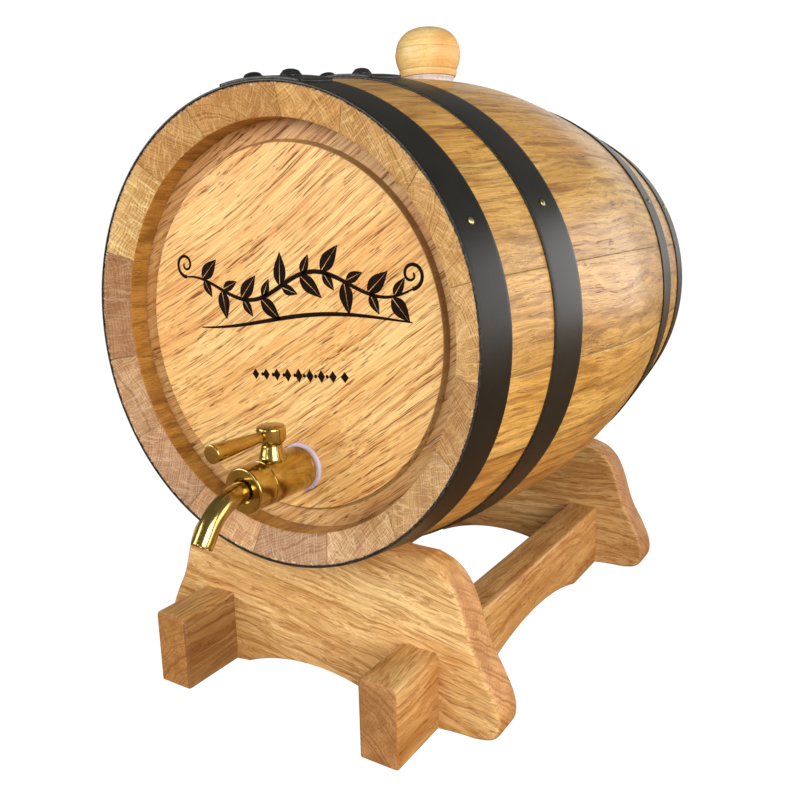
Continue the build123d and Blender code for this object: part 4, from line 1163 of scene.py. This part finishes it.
def cradle(name, y0, y1, wf, tone, seed, colour=(1, 1, 1)):
    th = y1 - y0
    RD = 3.4
    sl = []
    for i in range(9):
        ph = math.radians(90.0 * i / 8)
        sl.append((RD * (1 - math.cos(ph)), RD * (1 - math.sin(ph)), 0.0))
    first = [(0.0, RD, 1.3)] + sl
    mids = [(RD + (th - 2 * RD) * i / 6, 0.0, 0.0) for i in range(1, 6)]
    last = [(th - s, d, e) for s, d, e in first[::-1]]
    V, F, N = [], [], None
    for s, d, e in first + mids + last:
        y = y0 + s
        pts = cradle_outline(float(rout(y)) + 0.06, *NOTCH_R)
        ptl = cradle_outline(float(rout(y)) + 0.06, *NOTCH_L)
        xy = np.array([p for p, _ in pts], float)
        xl = np.array([p for p, _ in ptl], float)
        wt = np.array([q for _, q in pts], float)
        full = np.vstack([xy, xl[-2:0:-1] * np.array([-1, 1])])
        fw = np.concatenate([wt, wt[-2:0:-1]])
        nx, pv = np.roll(full, -1, 0), np.roll(full, 1, 0)
        t1 = full - pv
        t2 = nx - full
        t1 /= np.maximum(np.linalg.norm(t1, axis=1)[:, None], 1e-6)
        t2 /= np.maximum(np.linalg.norm(t2, axis=1)[:, None], 1e-6)
        t = t1 + t2
        t /= np.maximum(np.linalg.norm(t, axis=1)[:, None], 1e-6)
        nrm = np.stack([t[:, 1], -t[:, 0]], 1)             # outward, the outline runs anticlockwise
        full = full - nrm * (fw * (d + e))[:, None]
        N = len(full)
        for x, z in full:
            V.append((x + AX, y, z))
    S = len(first + mids + last)
    for i in range(S - 1):
        for k in range(N):
            l = (k + 1) % N
            F.append((i * N + k, i * N + l, (i + 1) * N + l, (i + 1) * N + k))
    F.append(tuple(range(N))[::-1])
    F.append(tuple((S - 1) * N + k for k in range(N)))
    ob = build("oak_" + name, V, F, M_STAND, "stand", [name], sharp=40)
    an = math.radians(wf)
    ca, sa = math.cos(an), math.sin(an)

    def wfun(P):
        x, z, d = P[:, 0], P[:, 2] - 45.0, P[:, 1] - y0
        w = ca * x + sa * z
        u = -sa * x + ca * z + 0.00035 * x * x
        return np.stack([u + 74.0 + 0.02 * w, d * 1.0 + 46.0 + 0.06 * w, w + seed], 1)

    def tfun(P, Nn, C):
        return np.stack([np.full(len(P), tone), np.zeros(len(P)), np.full(len(P), 99.0)], 1)

    dress(ob.data, wfun, tfun, gdir=(ca, 0, sa), cfun=lambda P, N: np.tile(np.array(colour, float), (len(P), 1)))
    return ob


cradle("front_cradle", float(c1_lo[1]), float(c1_hi[1]), -6.5, 0.02, 310.0)
# painted shade: the rear cradle is darker, as in the barrel's shadow
cradle("rear_cradle", float(c2_lo[1]), float(c2_hi[1]), 4.0, -0.14, 905.0, (0.88, 0.82, 0.75))


# ------------------------------------------------------------------ rails
def rail(name, lo, hi, tone, seed, sx, top_light_c, side_shade_c, end_c):
    x0, x1, y0, y1, H = float(lo[0]), float(hi[0]), float(lo[1]), float(hi[1]), float(hi[2])
    a0, a1, rise = -88.0, 58.0, 12.0
    am, hw = (a0 + a1) / 2, (a1 - a0) / 2
    rr = (hw * hw + rise * rise) / (2 * rise)
    RD = 1.9
    st = []
    for i in range(7):
        ph = math.radians(90.0 * i / 6)
        st.append((y0 + RD * (1 - math.cos(ph)), RD * (1 - math.sin(ph)), H))
    for (c0, c1) in ((float(c1_lo[1]), float(c1_hi[1])), (float(c2_lo[1]), float(c2_hi[1]))):
        prev = st[-1][0]
        for i in range(1, max(4, int((c0 - prev) / 4))):
            n = max(4, int((c0 - prev) / 4))
            st.append((prev + (c0 - prev) * i / n, 0.0, H))
        st += [(c0, 0.0, H), (c0 + 0.02, 0.0, H / 2), ((c0 + c1) / 2, 0.0, H / 2), (c1 - 0.02, 0.0, H / 2), (c1, 0.0, H)]
    prev = st[-1][0]
    for i in range(1, 8):
        st.append((prev + (y1 - RD - prev) * i / 7, 0.0, H))
    for i in range(5, -1, -1):
        ph = math.radians(90.0 * i / 6)
        st.append((y1 - RD * (1 - math.cos(ph)), RD * (1 - math.sin(ph)), H))
    V, F = [], []
    cx, hwx = (x0 + x1) / 2, (x1 - x0) / 2

    def loop(y, ins, top):
        zb = 0.0
        if a0 < y < a1:
            zb = math.sqrt(rr * rr - (y - am) ** 2) - (rr - rise)
        zb += ins * 0.6
        zt_, hx = top - ins, hwx - ins
        rt, rb = RD, 0.9
        pts = []
        for (px, pz, r, s) in ((hx, zb, rb, -90), (hx, zt_, rt, 0), (-hx, zt_, rt, 90), (-hx, zb, rb, 180)):
            ccx = px - r if px > 0 else px + r
            ccz = pz + r if pz == zb else pz - r
            for i in range(6):
                a = math.radians(s + 90.0 * i / 5)
                pts.append((ccx + r * math.cos(a), ccz + r * math.sin(a)))
        return [(cx + px, y, pz) for px, pz in pts]

    # a support loop keeps each end flat
    for y, ins, top in [(st[0][0], RD + 1.0, H)] + st + [(st[-1][0], RD + 1.0, H)]:
        V += loop(y, ins, top)
    N, S = 24, len(st) + 2
    for i in range(S - 1):
        for k in range(N):
            l = (k + 1) % N
            F.append((i * N + k, i * N + l, (i + 1) * N + l, (i + 1) * N + k))
    F.append(tuple(range(N))[::-1])
    F.append(tuple((S - 1) * N + k for k in range(N)))
    ob = build("oak_" + name, V, F, M_STAND, "stand", [name], sharp=40)

    def wfun(P):
        x, z, w = P[:, 0] - cx, P[:, 2] - 20.0, P[:, 1]
        return np.stack([x * sx + 30.0 + 0.03 * w, z * 0.9 + 26.0 - 0.05 * w, w + seed], 1)

    def tfun(P, Nn, C):
        t = np.full(len(P), tone)
        t = np.where(np.abs(Nn[:, 1]) > 0.8, -0.04, t)
        return np.stack([t, np.full(len(P), 0.0), np.full(len(P), 99.0)], 1)

    # painted light and shade: tops and sides get their own lit and shaded colours; ends get a darker colour, end grain
    # with painted shade
    def cfun(P, N):
        c = np.tile(np.array(side_shade_c, float), (len(P), 1))
        up = np.clip((N[:, 2] - 0.3) / 0.5, 0, 1)[:, None]
        c = c * (1 - up) + np.array(top_light_c, float) * up
        return np.where((np.abs(N[:, 1]) > 0.8)[:, None], np.array(end_c, float), c)

    dress(ob.data, wfun, tfun, gdir=(0, 1, 0), cfun=cfun)


# painted shade: the left rail has a darker tone and darker sides, as shaded by the cradles and barrel
rail("right_rail", r1_lo, r1_hi, -0.17, 120.0, 1, (0.95, 0.86, 0.76), (0.92, 0.80, 0.67), (0.80, 0.81, 0.78))
rail("left_rail", r0_lo, r0_hi, -0.36, 777.0, -1, (1.09, 0.94, 0.74), (0.72, 0.61, 0.52), (0.80, 0.76, 0.58))

# ------------------------------------------------------------------ burnt ornament on the head
YO = Y_FIELD - 0.035
TILT = math.radians(3.0)
OX, OZ = 5.5, 222.5


def place(p, o=(OX, OZ)):
    x, z = p
    return (o[0] + x * math.cos(TILT) - z * math.sin(TILT), o[1] + x * math.sin(TILT) + z * math.cos(TILT))


def ribbon(pts, width, o=(OX, OZ)):
    """Thin closed strip along pts; width is a function of 0..1 in mm."""
    P = np.array([place(p, o) for p in pts], float)
    n = len(P)
    t = np.gradient(P, axis=0)
    t /= np.maximum(np.linalg.norm(t, axis=1)[:, None], 1e-9)
    nr = np.stack([-t[:, 1], t[:, 0]], 1)
    V, F = [], []
    for i in range(n):
        w = max(0.08, width(i / (n - 1))) / 2
        a, b = P[i] + nr[i] * w, P[i] - nr[i] * w
        V += [(a[0], YO, a[1]), (b[0], YO, b[1]), (b[0], Y_FIELD + 0.01, b[1]), (a[0], Y_FIELD + 0.01, a[1])]
    for i in range(n - 1):
        q = i * 4
        for k in range(4):
            l = (k + 1) % 4
            F.append((q + k, q + l, q + 4 + l, q + 4 + k))
    F.append((0, 1, 2, 3))
    F.append(tuple((n - 1) * 4 + k for k in (3, 2, 1, 0)))
    return np.array(V), F


def blob(pts, o=(OX, OZ)):
    """Filled outline as a thin closed plate."""
    P = [place(p, o) for p in pts]
    n = len(P)
    V = [(x, YO, z) for x, z in P] + [(x, Y_FIELD + 0.01, z) for x, z in P]
    F = [tuple(range(n)), tuple(range(2 * n - 1, n - 1, -1))]
    for i in range(n):
        j = (i + 1) % n
        F.append((i, j, n + j, n + i))
    return np.array(V), F


def leaf(x, z, ang, length, width, o=(OX, OZ)):
    """Leaf in two halves with a clear midrib between them."""
    out = []
    ca, sa = math.cos(math.radians(ang)), math.sin(math.radians(ang))
    for side in (1, -1):
        pts = []
        for i in range(13):
            t = i / 12
            w = width * math.sin(math.pi * t ** 0.8) * (1 - 0.25 * t)
            pts.append((t * length, side * (w * 0.5 + 0.18)))
        for i in range(12, -1, -1):
            t = i / 12
            pts.append((t * length, side * (0.16 * (1 - t) + 0.02)))
        out.append(blob([(x + ca * a - sa * b, z + sa * a + ca * b) for a, b in pts], o))
    return out


def spiral(x, z, r0, turns, a0, sgn, n=60):
    pts = []
    for i in range(n + 1):
        t = i / n
        r = r0 * (1 - 0.86 * t)
        a = math.radians(a0) + sgn * turns * 2 * math.pi * t
        pts.append((x + r * math.cos(a), z + r * math.sin(a)))
    return pts


orn = []


def stem_z(x):
    return 6.4 * math.sin((x + 6) / 13.0)


stem = [(x, stem_z(x)) for x in np.linspace(-69, 69, 150)]
orn.append(ribbon(stem, lambda t: 0.8 + 1.5 * math.sin(math.pi * t) ** 0.7))
for i, x in enumerate(np.linspace(-58, 58, 10)):
    z = stem_z(x)
    up = 1 if i % 2 == 0 else -1
    slope = math.degrees(math.atan(6.4 / 13.0 * math.cos((x + 6) / 13.0)))
    orn += leaf(x, z + up * 0.4, slope + up * 58, 16.5 - 0.5 * abs(i - 4.5), 8.2)
    orn += leaf(x + 1.2, z - up * 0.4, slope - up * 46, 10.0, 5.4)
for x, s in ((-69, 1), (69, -1)):
    z = stem_z(x)
    orn.append(ribbon(spiral(x, z + 6.4, 6.4, 1.35, -90, -s), lambda t: 1.9 - 0.9 * t))
sw = [(x, -17.0 + 3.2 * math.sin(x / 25.0 + 0.7)) for x in np.linspace(-62, 68, 90)]
orn.append(ribbon(sw, lambda t: 0.6 + 1.6 * math.sin(math.pi * t) ** 0.8))
V, F = joined(orn)
ob = build("burnt_vine", V, F, M_BURN, "barrel", (), sharp=20)
# small rule of lozenges and dots below it
rule = []
o2 = (8.2, 178.6)
for x in range(-28, 29, 7):
    h = 3.6 - abs(x) * 0.03
    rule.append(blob([(x - 2.3, 0), (x, -h), (x + 2.3, 0), (x, h)], o2))
for x in range(-24, 25, 7):
    q = x - 0.5 if x > 0 else x + 0.5
    rule.append(blob([(q + 0.95 * math.cos(a * math.pi / 6), 0.95 * math.sin(a * math.pi / 6)) for a in range(12)], o2))
V, F = joined(rule)
build("burnt_rule", V, F, M_BURN, "barrel", (), sharp=20)

# ------------------------------------------------------------------ CAD nodes that stay
KEEP = {"front_head_dowels": M_DOWEL, "rear_head_dowels": M_DOWEL, "tap_lock_nut": M_BRASS, "tap_washer_inner": M_WASH,
        "tap_plug": M_BRASS, "tap_stem_rings": M_RING, "tap_grub_screw": M_STEEL, "stand_screws": M_STEEL}
for n, mt in KEEP.items():
    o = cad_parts[n]
    if not o.material_slots:
        o.data.materials.append(mt)
    for s in o.material_slots:
        s.link = "OBJECT"
        s.material = mt
    if mt is M_DOWEL:
        md = o.modifiers.new("soft", "BEVEL")
        md.width = 0.0003
        md.segments = 2
        md.limit_method = "ANGLE"

# ------------------------------------------------------------------ stage, light, camera
fm = bpy.data.meshes.new("floor")
fm.from_pydata([(-6, -6, 0), (6, -6, 0), (6, 6, 0), (-6, 6, 0)], [], [(0, 1, 2, 3)])
floor = bpy.data.objects.new("floor", fm)
scene.collection.objects.link(floor)
g = Net("pale_floor")
tc = g.node("ShaderNodeTexCoord")
nz = g.noise(g.vm("SCALE", tc.outputs["Object"], 3.0), 3.0, 0.5)
lp = g.node("ShaderNodeLightPath")
fcol = g.mix(nz, (0.90, 0.90, 0.90, 1), (0.94, 0.94, 0.94, 1))
fcol = g.mix(lp.outputs["Is Camera Ray"], lin(168, 134, 96), fcol)
fb = g.bsdf(Base_Color=fcol, Roughness=0.9, Specular_IOR_Level=0.1)
em = g.node("ShaderNodeEmission")
em.inputs["Color"].default_value = (1, 1, 1, 1)
em.inputs["Strength"].default_value = 1.14
mx = g.node("ShaderNodeMixShader")
g.put(mx.inputs[0], g.m("MULTIPLY", lp.outputs["Is Camera Ray"], 0.88))
g.t.links.new(fb.outputs["BSDF"], mx.inputs[1])
g.t.links.new(em.outputs["Emission"], mx.inputs[2])
fm.materials.append(g.out(mx.outputs["Shader"]))

world = bpy.data.worlds.new("studio")
scene.world = world
world.use_nodes = True
wt = world.node_tree
wt.nodes.clear()
wo = wt.nodes.new("ShaderNodeOutputWorld")
bg = wt.nodes.new("ShaderNodeBackground")
bgc = wt.nodes.new("ShaderNodeBackground")
bgg = wt.nodes.new("ShaderNodeBackground")
m1 = wt.nodes.new("ShaderNodeMixShader")
m2 = wt.nodes.new("ShaderNodeMixShader")
lpw = wt.nodes.new("ShaderNodeLightPath")
# the room: brighter on the camera's side, dim and warm overhead and behind
wtc = wt.nodes.new("ShaderNodeTexCoord")


def lobe(direction, low, high, power=1.0):
    d = Vector(direction).normalized()
    dot = wt.nodes.new("ShaderNodeVectorMath")
    dot.operation = "DOT_PRODUCT"
    dot.inputs[1].default_value = d
    wt.links.new(wtc.outputs["Generated"], dot.inputs[0])
    mp = wt.nodes.new("ShaderNodeMapRange")
    mp.clamp = True
    mp.inputs[1].default_value = 0.0
    mp.inputs[2].default_value = 1.0
    mp.inputs[3].default_value = low
    mp.inputs[4].default_value = high
    wt.links.new(dot.outputs["Value"], mp.inputs[0])
    return mp.outputs[0]


bg.inputs[0].default_value = (1.0, 0.975, 0.94, 1)
wt.links.new(lobe((0.30, -0.95, 0.05), 0.15, 0.64), bg.inputs[1])
bgc.inputs[0].default_value = (1, 1, 1, 1)
bgc.inputs[1].default_value = 1.05
bgg.inputs[0].default_value = (1.0, 0.93, 0.82, 1)
wt.links.new(lobe((0.0, -0.3, -0.5), 0.18, 0.50), bgg.inputs[1])
wt.links.new(lpw.outputs["Is Glossy Ray"], m1.inputs[0])
wt.links.new(bg.outputs[0], m1.inputs[1])
wt.links.new(bgg.outputs[0], m1.inputs[2])
wt.links.new(lpw.outputs["Is Camera Ray"], m2.inputs[0])
wt.links.new(m1.outputs[0], m2.inputs[1])
wt.links.new(bgc.outputs[0], m2.inputs[2])
wt.links.new(m2.outputs[0], wo.inputs[0])

CENTRE = Vector((0, 0, AZ * MM * 0.85))


def soft_light(name, az, el, dist, size, power, color=(1, 1, 1), size_y=None, spread=180.0):
    """Soft box at azimuth az (0 is in front of the tap, 90 to the right) and elevation el."""
    a, e = math.radians(az), math.radians(el)
    d = Vector((math.sin(a) * math.cos(e), -math.cos(a) * math.cos(e), math.sin(e)))
    L = bpy.data.lights.new(name, "AREA")
    L.shape = "RECTANGLE"
    L.size = size
    L.size_y = size_y or size
    L.energy = power
    L.color = color
    L.spread = math.radians(spread)
    o = bpy.data.objects.new(name, L)
    o.location = CENTRE + d * dist
    o.rotation_mode = "QUATERNION"
    o.rotation_quaternion = (-d).to_track_quat("-Z", "Y")
    scene.collection.objects.link(o)
    return o


soft_light("key", 57, 16, 1.7, 0.95, 21.5, (1.0, 0.985, 0.96))
soft_light("fill", -41, 16, 1.9, 1.0, 13, (1.0, 0.99, 0.98))
soft_light("strip", -6, 10, 1.9, 0.35, 4, (1.0, 0.99, 0.97), size_y=1.2)
soft_light("side", 104, 2, 1.9, 1.2, 15, (1.0, 0.985, 0.965))
soft_light("sheen", 150, 6, 1.9, 0.85, 7.5, (1.0, 0.99, 0.98), size_y=1.0)
soft_light("back", 190, 14, 1.9, 1.0, 3, (1.0, 0.99, 0.98))

cam_data = bpy.data.cameras.new("camera")
cam = bpy.data.objects.new("camera", cam_data)
scene.collection.objects.link(cam)
cam_data.sensor_width = 36.0
cam_data.lens = 834.2 * 36.0 / 790.0
cam_data.clip_start = 0.01
cam_data.clip_end = 50.0
Rm = [[0.8448178200907412, 0.5345430417834706, -0.02337920738609689],
      [0.09687094505132773, -0.19578018404251774, -0.9758514946143907],
      [-0.5262118117849408, 0.8221519664983793, -0.21718027792794015]]
cam.matrix_world = Matrix((
    (Rm[0][0], -Rm[1][0], -Rm[2][0], 0.26533),
    (Rm[0][1], -Rm[1][1], -Rm[2][1], -0.45993),
    (Rm[0][2], -Rm[1][2], -Rm[2][2], 0.25736),
    (0, 0, 0, 1)))
scene.camera = cam
scene.view_settings.view_transform = "Standard"
scene.view_settings.look = "None"
scene.view_settings.exposure = 0.0
scene.view_settings.gamma = 1.0
